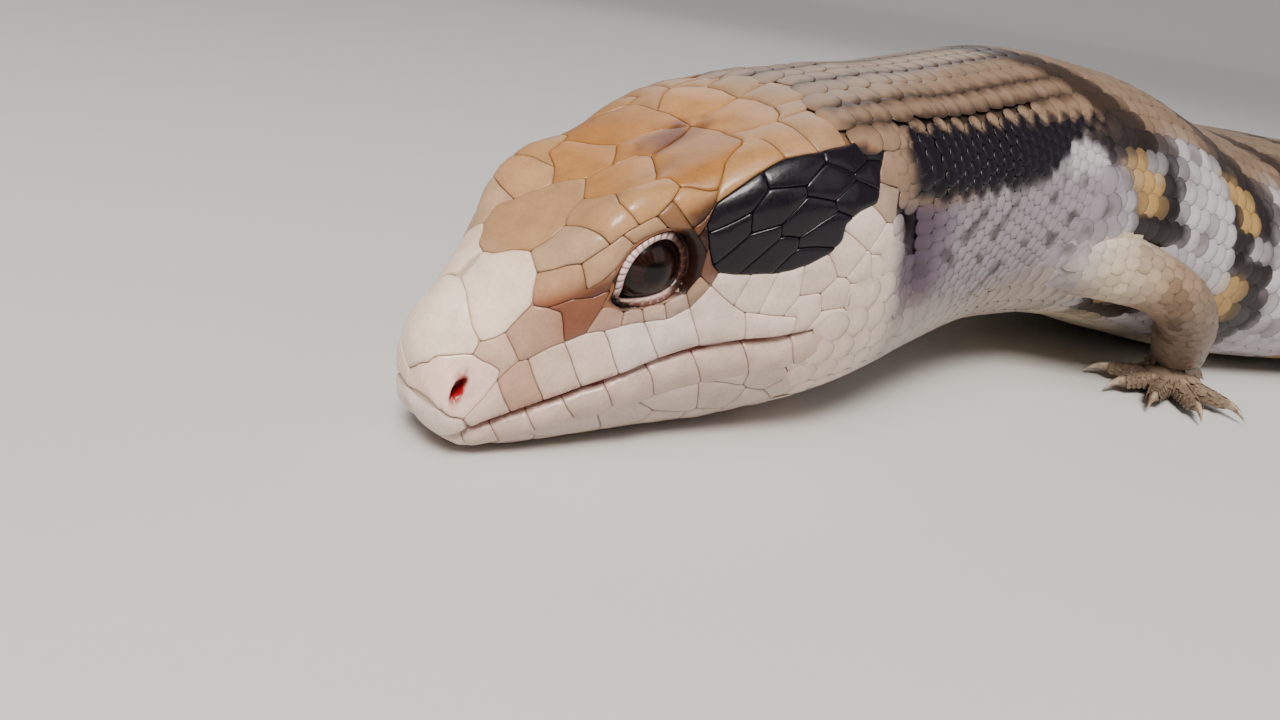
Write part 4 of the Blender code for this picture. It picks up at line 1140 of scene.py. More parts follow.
# A shield: name, corners, colour, height of its dome
SHIELDS = (
    ("nasal", "nas0 nas1 na nb nc nd ne nf ng nl1 nl0 nr1 nr0", (0.76, 0.58, 0.49), 0.16),
    ("prefrontal", "fn0 pm fr0 fr1 fr2 fr3 so0 pf1 lo0 lo1 lo2 fn4 fn3 fn2 fn1", (0.75, 0.60, 0.485), 0.14),
    ("supraocular_1", "fr3 fr4 fr5 sa1 sa2 sc5 sc4 sc3 sc2 sc1 so0", (0.49, 0.35, 0.24), 0.22),
    ("supraocular_2", "fr5 fr6 fr7 fr8 fp0 fp1 sb1 sb2 sb3 sc7 sc6 sc5 sa2 sa1", (0.45, 0.28, 0.155), 0.22),
    ("supraocular_3", "fp1 fp2 fp3 fp4 so4 sc10 sc9 sc8 sc7 sb3 sb2 sb1", (0.43, 0.26, 0.13), 0.20),
    ("supraocular_4", "sc10 pb2 pb1 pa8 po1 po2 po3 sc9", (0.41, 0.24, 0.115), 0.16),
    ("frontoparietal", "fr8 fr9 fr10 ip0 fp9 fp8 fp7 fp6 fp5 fp4 fp3 fp2 fp1 fp0", (0.41, 0.215, 0.08), 0.14),
    ("parietal", "fp4 fp5 fp6 fp7 fp8 ipa ipb ip1 pa0 pa1 pa2 pa3 pa4 pa5 pa6 pa7 pa8 pb1 pb2 sc10 so4",
     (0.355, 0.18, 0.06), 0.18),
    ("nuchal_1", "ip1 nu6 nu5 nu4 nu3 nu2 nu1 pa2 pa1 pa0", (0.42, 0.25, 0.125), 0.20),
    ("nuchal_2", "nu6 nu9 nu8 nu7 nu4 nu5", (0.36, 0.24, 0.145), 0.20),
    ("upper_temporal_1", "pa8 pa7 pa6 pa5 pa4 tp5 tp8 tp2 tp1 po1", (0.40, 0.235, 0.11), 0.18),
    ("upper_temporal_2", "pa4 pa3 pa2 nu1 nu2 tp4 tp3 tp2 tp8 tp5", (0.38, 0.235, 0.13), 0.20),
    ("upper_temporal_3", "nu2 nu10 tp7 tp6 tp3 tp4", (0.36, 0.24, 0.15), 0.20),
    ("nuchal_side", "nu2 nu3 nu4 nu7 nu10", (0.36, 0.24, 0.15), 0.20),
    ("loreal_1", "nd fn4 lo2 lc0 lc1 lt2 ng nf ne", (0.56, 0.39, 0.30), 0.16),
    ("loreal_2", "lo2 lo1 lo0 pr1 pr2 pr3 lt5 lt4 lt3 lc1 lc0", (0.44, 0.27, 0.195), 0.16),
    ("preocular_upper", "lo0 pf1 so0 sc1 sc2 sc3 ey1 ey2 ey3 pr6 pr5 pr4 pr1", (0.33, 0.15, 0.07), 0.20),
    ("preocular_lower", "pr1 pr4 pr5 pr6 su1 lt6 lt5 pr3 pr2", (0.22, 0.085, 0.05), 0.18),
    ("superciliary_1", "sc3 sc4 sc5 sc6 ey4 ey3 ey2 ey1", (0.46, 0.31, 0.20), 0.20),
    ("superciliary_2", "sc6 sc7 sc8 ey5 ey4", (0.42, 0.28, 0.17), 0.20),
    ("superciliary_3", "sc8 sc9 po3 ey6 ey5", (0.24, 0.13, 0.07), 0.20),
    ("subocular_1", "su1 su2 lt8 lt7 lt6", (0.42, 0.27, 0.21), 0.16),
    ("subocular_2", "su2 su3 lt9 lt8", (0.44, 0.31, 0.25), 0.16),
    ("subocular_3", "su3 su4 lt10 lt9", (0.42, 0.30, 0.25), 0.16),
    ("subocular_4", "su4 su5 lt11 lt10", (0.38, 0.27, 0.22), 0.16),
    ("subocular_5", "su5 su6 lt12 lt11", (0.30, 0.20, 0.13), 0.16),
    ("labial_1", "nl0 nl1 ng m2 m1", (0.62, 0.47, 0.39), 0.18),
    ("labial_2", "ng lt2 lc1 lt3 m3 m2", (0.47, 0.295, 0.21), 0.18),
    ("labial_3", "lt3 lt4 lt5 m4 m3", (0.56, 0.42, 0.34), 0.18),
    ("labial_4", "lt5 lt6 lt7 m5 m4", (0.64, 0.51, 0.44), 0.18),
    ("labial_5", "lt7 lt8 lt9 m6 m5", (0.64, 0.55, 0.50), 0.18),
    ("labial_6", "lt9 lt10 lt11 m7 m6", (0.65, 0.56, 0.51), 0.18))
MEDIAN_SHIELDS = (
    ("frontonasal", "nas1 na nb nc nd fn4 fn3 fn2 fn1 fn0", (0.77, 0.64, 0.53), 0.14),
    ("frontal", "fr0 fr1 fr2 fr3 fr4 fr5 fr6 fr7 fr8 fr9 fr10", (0.44, 0.275, 0.155), 0.16),
    ("interparietal", "ip0 fp9 fp8 ipa ipb ip1", (0.355, 0.18, 0.065), 0.16))


def corner(name, side):
    """A seam corner's place on one side of the head."""
    if name in MOUTH_STOPS:
        s = MOUTH_STOPS[name]
        return np.array([s, side * (float(mouth_arc(s)) - 0.05)])
    place = SEAM_PLACES[name]
    if side < 0 and name in RIGHT_PLACES:
        place = RIGHT_PLACES[name]
    return np.array([place[0], side * place[1]])


print("seam corners:", len(SEAM_PLACES), "shields:", 2 * len(SHIELDS) + len(MEDIAN_SHIELDS))

# %% From an outline to a plate
SEAM_HALF = 0.03                 # half the width of a seam
EDGE_DROP = 0.09                 # how far a plate's edge lies under the skin's level
PLATE_STEP = 0.42                # distance between points of an outline
PLATE_RISES = (0.09, 0.2, 0.38, 0.65)
PLATE_DEPTH = 0.62               # how far a plate reaches into the skin
NOSE_PLATE_DEPTH = 3.4
TIP_CREAM = (0.79, 0.64, 0.53)
SNOUT_FLUSH = (0.40, 0.22, 0.13)
CROWN_TAN = (0.46, 0.25, 0.10)
SMUDGE = (0.13, 0.045, 0.028)
LINK_BROWN = (0.06, 0.025, 0.015)
LORE_PALE = (0.47, 0.30, 0.19)
LORE_ORANGE = (0.24, 0.07, 0.028)
LORE_DARK = (0.12, 0.032, 0.016)


def wander(places):
    """Move outline points a little, always the same way, so that no seam is ruler-straight."""
    s, a = places[..., 0], places[..., 1]
    shift = np.stack([0.11 * ripple(s, a, 1.9, 1.0), 0.11 * ripple(s, a, 2.3, 4.0)], -1)
    return places + shift * smooth_step(0.5, 3.0, s)[..., None]


def outline_points(corners, step=PLATE_STEP, round_off=0.32):
    """Points along a closed outline, with its corners cut to a soft curve."""
    corners = np.asarray(corners, float)
    soft = []
    for before, here, after in zip(np.roll(corners, 1, 0), corners, np.roll(corners, -1, 0)):
        to_before, to_after = before - here, after - here
        long_before, long_after = np.linalg.norm(to_before), np.linalg.norm(to_after)
        cut = min(round_off, 0.3 * long_before, 0.3 * long_after)
        soft.append(here + to_before / long_before * cut)
        soft.append(here + 0.5 * (to_before / long_before + to_after / long_after) * cut * 0.5)
        soft.append(here + to_after / long_after * cut)
    soft = np.array(soft)
    dense = []
    for p, q in zip(soft, np.roll(soft, -1, 0)):
        parts = max(1, int(round(np.linalg.norm(q - p) / step)))
        for k in range(parts):
            dense.append(p + (q - p) * k / parts)
    return wander(np.array(dense))


def nearest_edge(points, loop):
    """Distance of points from a closed outline, and whether they are inside it."""
    start, end = loop, np.roll(loop, -1, 0)
    along = end - start
    t = ((points[:, None] - start) * along).sum(-1) / ((along ** 2).sum(-1) + 1e-12)
    foot = start + np.clip(t, 0, 1)[..., None] * along
    away = np.linalg.norm(points[:, None] - foot, axis=-1).min(1)
    x, y = points[:, 0:1], points[:, 1:2]
    crosses = (start[:, 1] > y) != (end[:, 1] > y)
    where = start[:, 0] + (y - start[:, 1]) * along[:, 0] / np.where(along[:, 1] == 0, 1e-12, along[:, 1])
    return away, (crosses & (x < where)).sum(1) % 2 == 1


def plate_points(rim, inward, inner_step, extra):
    """Points of a plate seen flat: its rim, rings that follow the rim, and a grid inside."""
    keep = [rim]
    for rise in PLATE_RISES:
        every = 1 if rise < 0.3 else 2
        inner = rim[::every] + inward[::every] * rise
        away, inside = nearest_edge(inner, rim)
        keep.append(inner[inside & (away > rise * 0.93)])
    low, high = rim.min(0) + 0.3, rim.max(0)
    xs, ys = np.arange(low[0], high[0], inner_step), np.arange(low[1], high[1], inner_step)
    half = 0.5 * inner_step
    grid = np.array([(x + half * (k % 2), y) for k, y in enumerate(ys) for x in xs]).reshape(-1, 2)
    if extra is not None:
        grid = np.vstack([grid, extra])
    if len(grid):
        away, inside = nearest_edge(grid, rim)
        keep.append(grid[inside & (away > (1.0 if extra is None else 0.8))])
    return np.vstack(keep)


def border_edges(faces):
    """The edges that only one face has, in the order of the faces."""
    edges = [edge for face in faces for edge in zip(face, face[1:] + face[:1])]
    known = set(edges)
    return [edge for edge in dict.fromkeys(edges) if edge[::-1] not in known]


def plate_parts(corners, dome, tilt=0.0, inner_step=1.0, extra=None, belly=PLATE_DEPTH):
    """Points (distance, arc, lift), edge values and faces of one closed plate."""
    rough = outline_points(corners)
    area = 0.5 * np.sum(rough[:, 0] * np.roll(rough[:, 1], -1) - np.roll(rough[:, 0], -1) * rough[:, 1])
    if area < 0:
        rough = rough[::-1]
    along = unit(np.roll(rough, -1, 0) - np.roll(rough, 1, 0))
    inward = np.stack([-along[:, 1], along[:, 0]], -1)
    rim = rough + inward * SEAM_HALF
    points = plate_points(rim, inward, inner_step, extra)
    edges = [(i, (i + 1) % len(rim)) for i in range(len(rim))]
    found = delaunay_2d_cdt([Vector(p) for p in points], edges, [], 1, 1e-5)
    flat = np.array([tuple(v) for v in found[0]])
    faces = [tuple(f) for f in found[2]]
    away, _ = nearest_edge(flat, rim)
    middle = rim.mean(0)
    size = max(np.abs(flat - middle).max(), 1.0)
    edge_rise = (EDGE_DROP + 0.05) * (1 - np.exp(-away / 0.13))
    lift = edge_rise - EDGE_DROP + dome * smooth_step(0, 0.55 * size, away)
    lift = lift + tilt * (flat[:, 0] - middle[0]) / size
    rim_edges = border_edges(faces)
    rim_points = sorted({p for p, q in rim_edges} | {q for p, q in rim_edges})
    below = {p: len(flat) + i for i, p in enumerate(rim_points)}
    all_flat = np.vstack([flat, flat[rim_points], flat[rim_points].mean(0)[None]])
    all_lift = np.concatenate([lift, np.full(len(rim_points), -PLATE_DEPTH), [-belly]])
    deepest = len(all_flat) - 1
    for p, q in rim_edges:
        faces.append((q, p, below[p], below[q]))
        faces.append((below[q], below[p], deepest))
    edge_value = np.concatenate([np.exp(-away / 0.15), np.ones(len(rim_points) + 1)])
    return np.column_stack([all_flat, all_lift]), edge_value, faces


class Coat:
    """Gathers many plates and turns them into one mesh."""

    def __init__(self):
        self.points, self.edges, self.colours, self.maps, self.faces, self.count = [], [], [], [], [], 0

    def add(self, parts, colour, own_share, vary=None, maps=None, lines=1.0):
        """Add a plate; own_share is how much its own colour hides the markings of the skin."""
        points, edge, faces = parts
        s, a = points[:, 0], points[:, 1]
        if vary is not None:
            colour = vary(s, a, colour)
        self.points.append(points)
        self.edges.append(edge * lines)
        self.colours.append(np.asarray(colour) * own_share + markings(s, a) * (1 - own_share))
        self.maps.append(map_places(s, a) if maps is None else maps)
        self.faces += [tuple(i + self.count for i in f) for f in faces]
        self.count += len(points)

    def build(self, name, finish):
        """All plates so far as one piece."""
        flat = np.vstack(self.points)
        places = surface(flat[:, 0], flat[:, 1], flat[:, 2])
        places[:, 2] = settle(places[:, 2])
        return make_mesh(name, places, self.faces, np.vstack(self.colours), np.vstack(self.maps),
                         finish, np.concatenate(self.edges))


def pit_points():
    """Closely set points round the nostril, for its rim and hollow."""
    found = []
    for reach in (0.35, 0.6, 0.85, 1.1, 1.45):
        for t in np.linspace(0, 2 * pi, 16, endpoint=False):
            ahead, beside = 1.2 * reach * cos(t), 0.62 * reach * sin(t)
            found.append((NOSTRIL_SPOT[0] + ahead * NOSTRIL_LIE[0] - beside * NOSTRIL_LIE[1],
                          NOSTRIL_SPOT[1] + ahead * NOSTRIL_LIE[1] + beside * NOSTRIL_LIE[0]))
    return np.array(found)


def snout_blend(s, a, colour):
    """Shields of the snout run from cream at the front to tan at the back."""
    side = np.abs(a)
    cream = mix(np.asarray(colour), TIP_CREAM, 0.5 * (1 - smooth_step(5, 13, s)))
    flush = smooth_step(8.0, 11.0, side) * smooth_step(8.5, 12.5, s) * (1 - smooth_step(14, 17, side))
    return mix(cream, SNOUT_FLUSH, 0.45 * flush)


def nostril_blend(s, a, colour):
    """The nasal shield turns red round the nostril."""
    round_nostril = np.hypot((s - NOSTRIL_SPOT[0]) / 1.25, (np.abs(a) - NOSTRIL_SPOT[1]) / 0.95)
    return mix(np.asarray(colour), NOSTRIL_RED, smooth_step(1.05, 0.8, round_nostril))


def smudge_blend(s, a, colour):
    """A dark smudge on the middle of the crown, with faint rays."""
    away = np.hypot((s - 37.2) / 1.5, a - 0.3) + 1.1 * ripple(s, a, 1.2, 7.0)
    dark = 0.92 * smooth_step(4.2, 1.0, away)
    back = smooth_step(26, 34, s) * smooth_step(8, 2, np.abs(a))
    return mix(mix(np.asarray(colour), CROWN_TAN, 0.6 * back), SMUDGE, dark)


def link_blend(s, a, colour):
    """Dark brown between the eye's rear corner and the temple patch."""
    dark = smooth_step(13.6, 15.2, np.abs(a)) * smooth_step(28.0, 30.0, s)
    return mix(np.asarray(colour), LINK_BROWN, dark)


def flush_blend(s, a, colour):
    """The shield before the eye, orange-brown in the middle and paler along its top, whatever its colour."""
    lower = smooth_step(-0.5, 2.2, np.abs(a) - (8.3 + 0.95 * (s - 13.0)))
    return mix(LORE_PALE, mix(LORE_ORANGE, LORE_DARK, smooth_step(15, 19, s)), lower)


print("points round the nasal shield:", len(outline_points([corner(c, 1) for c in SHIELDS[0][1].split()])))

# %% Plates that fill a region, and plates round the tip of the nose
def clip_half(polygon, point, normal):
    """The part of a polygon on the side of a line that its normal points away from."""
    kept = []
    for p, q in zip(polygon, polygon[1:] + polygon[:1]):
        high_p = float(np.dot(np.subtract(p, point), normal))
        high_q = float(np.dot(np.subtract(q, point), normal))
        if high_p <= 0:
            kept.append(p)
        if (high_p < 0 < high_q) or (high_q < 0 < high_p):
            t = high_p / (high_p - high_q)
            kept.append(tuple(np.asarray(p) + t * (np.asarray(q) - np.asarray(p))))
    return kept


def cells(region, seeds, stretch=1.0):
    """Split a region between seed places, each place going to the nearest; stretch makes long cells."""
    found = []
    region = [(p[0], p[1] * stretch) for p in region]
    seeds = [(p[0], p[1] * stretch) for p in seeds]
    for i, seed in enumerate(seeds):
        polygon = [tuple(p) for p in region]
        for j, other in enumerate(seeds):
            if i != j and polygon:
                toward = np.subtract(other, seed)
                polygon = clip_half(polygon, np.add(seed, other) / 2, toward)
        if len(polygon) > 2:
            found.append(drop_close([(p[0], p[1] / stretch) for p in polygon]))
    return found


def drop_close(polygon, least=0.25):
    """A polygon without corners that nearly coincide."""
    kept = [polygon[0]]
    for p in polygon[1:]:
        if np.linalg.norm(np.subtract(p, kept[-1])) > least:
            kept.append(p)
    if np.linalg.norm(np.subtract(kept[0], kept[-1])) < least:
        kept.pop()
    return kept


def pole_plane(s, a):
    """Places near the tip of the nose, on a flat disc round it."""
    half = half_girth(s)
    angle = pi * np.asarray(a) / half
    return np.stack([half / pi * np.sin(angle), half / pi * np.cos(angle)], -1)


def from_pole_plane(points):
    """Back from the disc to distance and arc."""
    reach = np.linalg.norm(points, axis=-1) * pi
    s = np.interp(reach, HALF_GIRTHS[:80], GRID_S[:80])
    share = np.arctan2(points[:, 0], points[:, 1]) / pi
    return s, share * half_girth(s)


def lip(s, below):
    """A place at the mouth line, some millimetres under it."""
    return (s, float(mouth_arc(s)) + below)


BEHIND = {
    "q0": (30.9, 16.5), "q1": (51.4, 16.1), "q2": (54.0, 17.6), "q3": (53.0, 18.8), "q4": (51.7, 20.2),
    "q5": (50.9, 21.9), "q6": (50.0, 23.3), "q7": (47.3, 23.8), "q8": (45.1, 24.9), "q9": (44.6, 26.5),
    "q10": (43.2, 27.4), "q11": (40.8, 27.8), "q12": (38.9, 27.6), "q13": (37.0, 26.8),
    "q14": (35.1, 25.3), "q15": (33.2, 23.8), "q16": (31.3, 22.4), "q17": (30.6, 21.0),
    "q18": (30.5, 19.2), "c1": (55.0, 20.0), "c2": (54.0, 22.5), "c3": (53.2, 24.6), "c4": (52.7, 26.8),
    "c5": (52.3, 29.0), "c6": (51.5, 31.1), "c7": (50.2, 32.7), "c8": (48.6, 34.1), "c9": (46.8, 35.3),
    "c10": (45.2, 37.0), "c11": (44.3, 38.6), "b1": (31.9, 26.0), "b2": (33.6, 28.9), "b3": (36.4, 31.3),
    "b4": (39.2, 33.6)}
SEAM_PLACES.update(BEHIND)
SHIELDS_BEHIND = (
    ("labial_7", "lt11 lt12 b1 b2 m8 m7", (0.64, 0.53, 0.465), 0.18),
    ("labial_8", "b2 b3 b4 m9 m8", (0.64, 0.53, 0.47), 0.18),
    ("subocular_6", "su6 su7 q18 q17 q16 lt12", (0.17, 0.09, 0.06), 0.14),
    ("postocular_1", "po3 po2 po1 q0 ey7", (0.15, 0.07, 0.035), 0.14),
    ("postocular_2", "ey7 q0 q18 su7", (0.055, 0.022, 0.014), 0.14))
SEAM_PLACES["ey7"] = (29.7, 17.4)
PATCH_BORDER = "q0 po1 tp1 tp2 tp3 tp6 q1 q2 q3 q4 q5 q6 q7 q8 q9 q10 q11 q12 q13 q14 q15 q16 q17 q18"
PATCH_SEEDS = ((33.6, 16.6), (41.2, 17.0), (48.0, 17.9), (52.6, 17.6), (32.4, 19.0), (37.6, 19.4),
               (44.6, 20.1), (50.6, 20.3), (34.6, 21.9), (40.9, 22.4), (47.4, 22.2), (36.6, 24.6),
               (42.4, 25.0), (40.0, 27.0))
CHEEK_BORDER = ("lt12 q16 q15 q14 q13 q12 q11 q10 q9 q8 q7 q6 q5 q4 q3 q2 c1 c2 c3 c4 c5 c6 c7 c8 c9 c10 c11 "
                "m10 m9 b4 b3 b2 b1")
CHEEK_SEEDS = ((32.5, 24.8), (34.9, 27.0), (38.0, 29.4), (41.8, 30.2), (45.4, 29.2), (48.6, 26.2),
               (51.9, 23.6), (53.4, 20.4), (40.4, 33.4), (43.9, 33.2), (47.3, 31.0), (50.6, 28.4),
               (43.2, 36.6), (46.9, 33.9), (49.9, 30.9))
INFRALABIAL_ENDS = (2.7, 5.8, 9.4, 13.4, 17.8, 22.6, 27.8, 33.4, 38.6, 43.0)
INFRALABIAL_DEPTH = ((0, 3.2), (6, 3.4), (12, 4.0), (20, 4.7), (30, 5.0), (43, 4.2))
LIP_GAP = 0.14
CHIN_SEEDS = ((8.4, 3.2), (13.4, 3.9), (14.6, 8.6), (19.4, 3.6), (20.4, 9.8), (25.2, 3.0), (25.6, 8.8),
              (26.2, 14.4), (30.4, 3.4), (30.8, 9.2), (31.4, 15.0), (32.2, 20.4), (35.2, 2.6), (35.4, 8.2),
              (35.8, 13.8), (36.6, 19.4), (39.0, 5.4), (39.2, 11.0), (39.6, 16.6), (40.8, 21.6))
CHIN_OUTER_STOPS = (6.7, 10.3, 14.3, 18.7, 23.5, 28.7, 34.3, 39.5, 43.9)
PLATE_SLANT = 0.9
# cream of the lower jaw and chin, partly darkened as painted shade under the head
JAW_CREAM_SHADED = (0.50, 0.385, 0.33)
CHIN_CREAM_SHADED = (0.47, 0.38, 0.33)


def infralabials(side):
    """The long plates along the lower lip."""
    for start, end in zip(INFRALABIAL_ENDS[:-1], INFRALABIAL_ENDS[1:]):
        stops = (start, (start + end) / 2, end)
        top = [lip(s, LIP_GAP) for s in stops]
        foot = [lip(s + PLATE_SLANT, float(np.interp(s, *zip(*INFRALABIAL_DEPTH)))) for s in stops[::-1]]
        yield [(s, side * a) for s, a in top + foot]


def chin_cells(side):
    """The shields under the chin, on one side of its middle line."""
    outer = []
    for s in CHIN_OUTER_STOPS:
        ahead = s - PLATE_SLANT
        foot = float(mouth_arc(ahead)) + float(np.interp(ahead, *zip(*INFRALABIAL_DEPTH)))
        outer.append((s, float(half_girth(s)) - foot))
    region = [(6.0, 0.0)] + outer + [(43.2, 19.0), (41.5, 10.0), (41.0, 0.0)]
    for polygon in cells(region, CHIN_SEEDS):
        dense = []
        for p, q in zip(polygon, polygon[1:] + polygon[:1]):
            parts = max(1, int(np.linalg.norm(np.subtract(q, p)) / 2.0))
            dense += [np.asarray(p) + (np.asarray(q) - np.asarray(p)) * k / parts for k in range(parts)]
        yield [(s, side * (float(half_girth(s)) - c)) for s, c in dense]


def front_plates():
    """The plates at the tip of the upper and of the lower jaw, given on the flat disc."""
    upper = [(0.3, 0.0), (1.2, 6.6), (2.2, 10.2), (3.3, 12.4)]
    upper += [lip(s, -0.10) for s in (3.9, 3.2, 2.6, 2.1, 1.7, 1.4)]
    lower = [lip(s, LIP_GAP) for s in (1.5, 1.9, 2.3, 2.7)] + [(3.6, float(mouth_arc(2.7)) + 3.4)]
    lower += [(5.0, float(half_girth(5.0)) - 2.9), (6.0, float(half_girth(6.0)) - 0.01)]
    for name, half in (("rostral", upper), ("mental", lower)):
        left = [pole_plane(np.array(s), np.array(a)) for s, a in half]
        right = [p * np.array([-1, 1]) for p in left[::-1] if abs(p[0]) > 0.05]
        yield name, left + right


print("plates on one side of the patch, cheek and chin:", len(PATCH_SEEDS), len(CHEEK_SEEDS), len(CHIN_SEEDS))

# %% Build the coat of the head
SEAM_LINES = {"nasal": 0.4, "labial_1": 0.6, "labial_2": 0.6, "labial_3": 0.5, "labial_4": 0.4,
              "labial_5": 0.25, "labial_6": 0.15, "labial_7": 0.12, "labial_8": 0.12,
              "subocular_1": 0.3, "subocular_2": 0.2, "subocular_3": 0.2, "subocular_4": 0.2,
              "subocular_5": 0.25, "loreal_1": 0.4, "loreal_2": 0.4, "preocular_lower": 0.5}
FULL_SEAM_LINE, CHEEK_LINE, JAW_LINE = 0.85, 0.12, 0.15
VARIED = {"nasal": nostril_blend, "prefrontal": snout_blend, "frontonasal": snout_blend,
          "preocular_upper": flush_blend, "interparietal": smudge_blend, "parietal": smudge_blend,
          "frontoparietal": smudge_blend, "nuchal_1": smudge_blend, "supraocular_4": link_blend,
          "superciliary_3": link_blend}
NOSE_CREAM = (0.66, 0.55, 0.49)
PATCH_STRETCH = 1.7
NOSE_MAP_SPOTS = {"rostral": (0.86, 0.84), "mental": (0.86, 0.93)}
NOSE_MAP_SCALE = 0.004
upper_coat, side_coat, jaw_coat = Coat(), Coat(), Coat()


def tone(colour, number):
    """The colour with a small steady difference from plate to plate."""
    return np.asarray(colour) * (1 + 0.07 * sin(2.4 * number + 0.6) * cos(1.3 * number))


def place_shields(side):
    """The named shields of one side."""
    for number, (name, corners, colour, dome) in enumerate(SHIELDS + SHIELDS_BEHIND):
        places = [corner(c, side) for c in corners.split()]
        if name == "nasal":
            parts = plate_parts(places, dome, inner_step=0.8, extra=pit_points() * np.array([1, side]),
                                belly=NOSE_PLATE_DEPTH)
        else:
            parts = plate_parts(places, dome)
        upper_coat.add(parts, tone(colour, number + side), 0.85, VARIED.get(name),
                       lines=SEAM_LINES.get(name, FULL_SEAM_LINE))


def region_plates(border, seeds, side, tilt, stretch=1.0):
    """The domed plates that fill a region of one side."""
    region = [tuple(corner(c, 1)) for c in border.split()]
    for number, polygon in enumerate(cells(region, seeds, stretch)):
        yield number, plate_parts(np.array(polygon) * np.array([1, side]), 0.16, tilt=tilt)


def place_cheek(side):
    """The dark patch behind the eye and the plates of the cheek."""
    for number, parts in region_plates(PATCH_BORDER, PATCH_SEEDS, side, 0.08, PATCH_STRETCH):
        side_coat.add(parts, tone(PATCH_BLACK, number), 1.0)
    for number, parts in region_plates(CHEEK_BORDER, CHEEK_SEEDS, side, 0.06):
        s, a = CHEEK_SEEDS[number]
        behind_patch = smooth_step(50.0, 52.5, s) * (1 - smooth_step(23.0, 27.0, a))
        side_coat.add(parts, tone(mix(LIP_CREAM, NAPE_TAN, behind_patch), number), 0.9, lines=CHEEK_LINE)


def place_jaw(side):
    """The plates of the lower lip and the chin."""
    for number, polygon in enumerate(infralabials(side)):
        jaw_coat.add(plate_parts(polygon, 0.16), tone(JAW_CREAM_SHADED, number), 0.9, lines=JAW_LINE)
    for number, polygon in enumerate(chin_cells(side)):
        parts = plate_parts(polygon, 0.14, inner_step=1.5)
        jaw_coat.add(parts, tone(CHIN_CREAM_SHADED, number), 0.9, lines=JAW_LINE)


def place_median():
    """The shields that cross the middle line of the crown."""
    for name, corners, colour, dome in MEDIAN_SHIELDS:
        names = corners.split()
        left = [corner(c, 1) for c in names]
        right = [corner(c, -1) for c in names[::-1] if abs(corner(c, -1)[1]) > 0.01 and c != "fn0"]
        upper_coat.add(plate_parts(left + right, dome), colour, 0.85, VARIED.get(name))


def place_tips():
    """The plates at the tips of the nose and the lower jaw."""
    for name, polygon in front_plates():
        points, edge, faces = plate_parts(np.array(polygon), 0.12)
        s, a = from_pole_plane(points[:, :2])
        maps = np.array(NOSE_MAP_SPOTS[name]) + points[:, :2] * NOSE_MAP_SCALE
        coat = upper_coat if name == "rostral" else jaw_coat
        coat.add((np.column_stack([s, a, points[:, 2]]), edge, faces), NOSE_CREAM, 0.9, maps=maps)


for side in (1, -1):
    place_shields(side)
    place_cheek(side)
    place_jaw(side)
place_median()
place_tips()
shields = upper_coat.build("head_shields", SHIELD)
temple_plates = side_coat.build("head_side_plates", SHIELD)
jaw_plates = jaw_coat.build("head_jaw_plates", SHIELD)
for made in (shields, temple_plates, jaw_plates):
    print(made.name, len(made.data.polygons), "faces")

# %% [markdown]
# ## Body scales
# Behind the head the coat is made of thousands of smooth, round-ended scales that overlap
# like roof tiles, each one raised a little at its free rear edge. One scale is modelled with a
# few dozen faces. Rows of points are laid over the skin, and a Geometry Nodes tree puts a
# scale on each point, turned to the lie of the coat and stretched to its size there.

# %% One scale and the tree that lays it
SCALE_OUTLINE = ((-0.5, 0.0), (-0.47, 0.27), (-0.30, 0.45), (-0.02, 0.52), (0.24, 0.465), (0.42, 0.27),
                 (0.5, 0.0))
# Share of the outline, height and edge value of each ring of a scale
RINGS = ((1.0, 0.0, 1.0), (0.90, 0.085, 0.35), (0.55, 0.17, 0.0))
SCALE_BELOW = 0.16
TREE_INPUTS = (("Roots", "Geometry"), ("Shape", "Object"), ("Finish", "Material"), ("Uneven turn", "Float"),
               ("Seed", "Int"))
ROOT_FACTS = ("root_tint", "root_map", "root_arc", "root_size")


def scale_shape():
    """One closed scale: length along x, width across y, outward z, all about one unit long."""
    right = [(x, -y) for x, y in SCALE_OUTLINE[1:-1]][::-1]
    rim = np.array(list(SCALE_OUTLINE) + right)
    count = len(rim)
    points, edges, faces = [], [], []
    for share, high, edge in RINGS:
        for x, y in rim:
            points.append((x * share, y * share, high))
            edges.append(edge)
    points.append((0.0, 0.0, 0.2))
    edges.append(0.0)
    for x, y in rim:
        points.append((x * 0.97, y * 0.97, -SCALE_BELOW))
        edges.append(1.0)
    crown, base = 3 * count, 3 * count + 1
    for i in range(count):
        j = (i + 1) % count
        for ring in (0, 1):
            faces.append((ring * count + j, ring * count + i, (ring + 1) * count + i, (ring + 1) * count + j))
        faces.append((2 * count + j, 2 * count + i, crown))
        faces.append((i, j, base + j, base + i))
    faces.append(tuple(base + i for i in range(count)))
    mesh = bpy.data.meshes.new("one_scale")
    mesh.from_pydata(points, [], faces)
    layer = mesh.attributes.new("edge", "FLOAT", "POINT")
    layer.data.foreach_set("value", np.array(edges, np.float32))
    layer = mesh.attributes.new("own", "FLOAT_VECTOR", "POINT")
    layer.data.foreach_set("vector", np.array(points, np.float32).ravel())
    mesh.shade_smooth()
    made = bpy.data.objects.new("one_scale", mesh)
    bpy.context.scene.collection.objects.link(made)
    face_out(made)
    return made


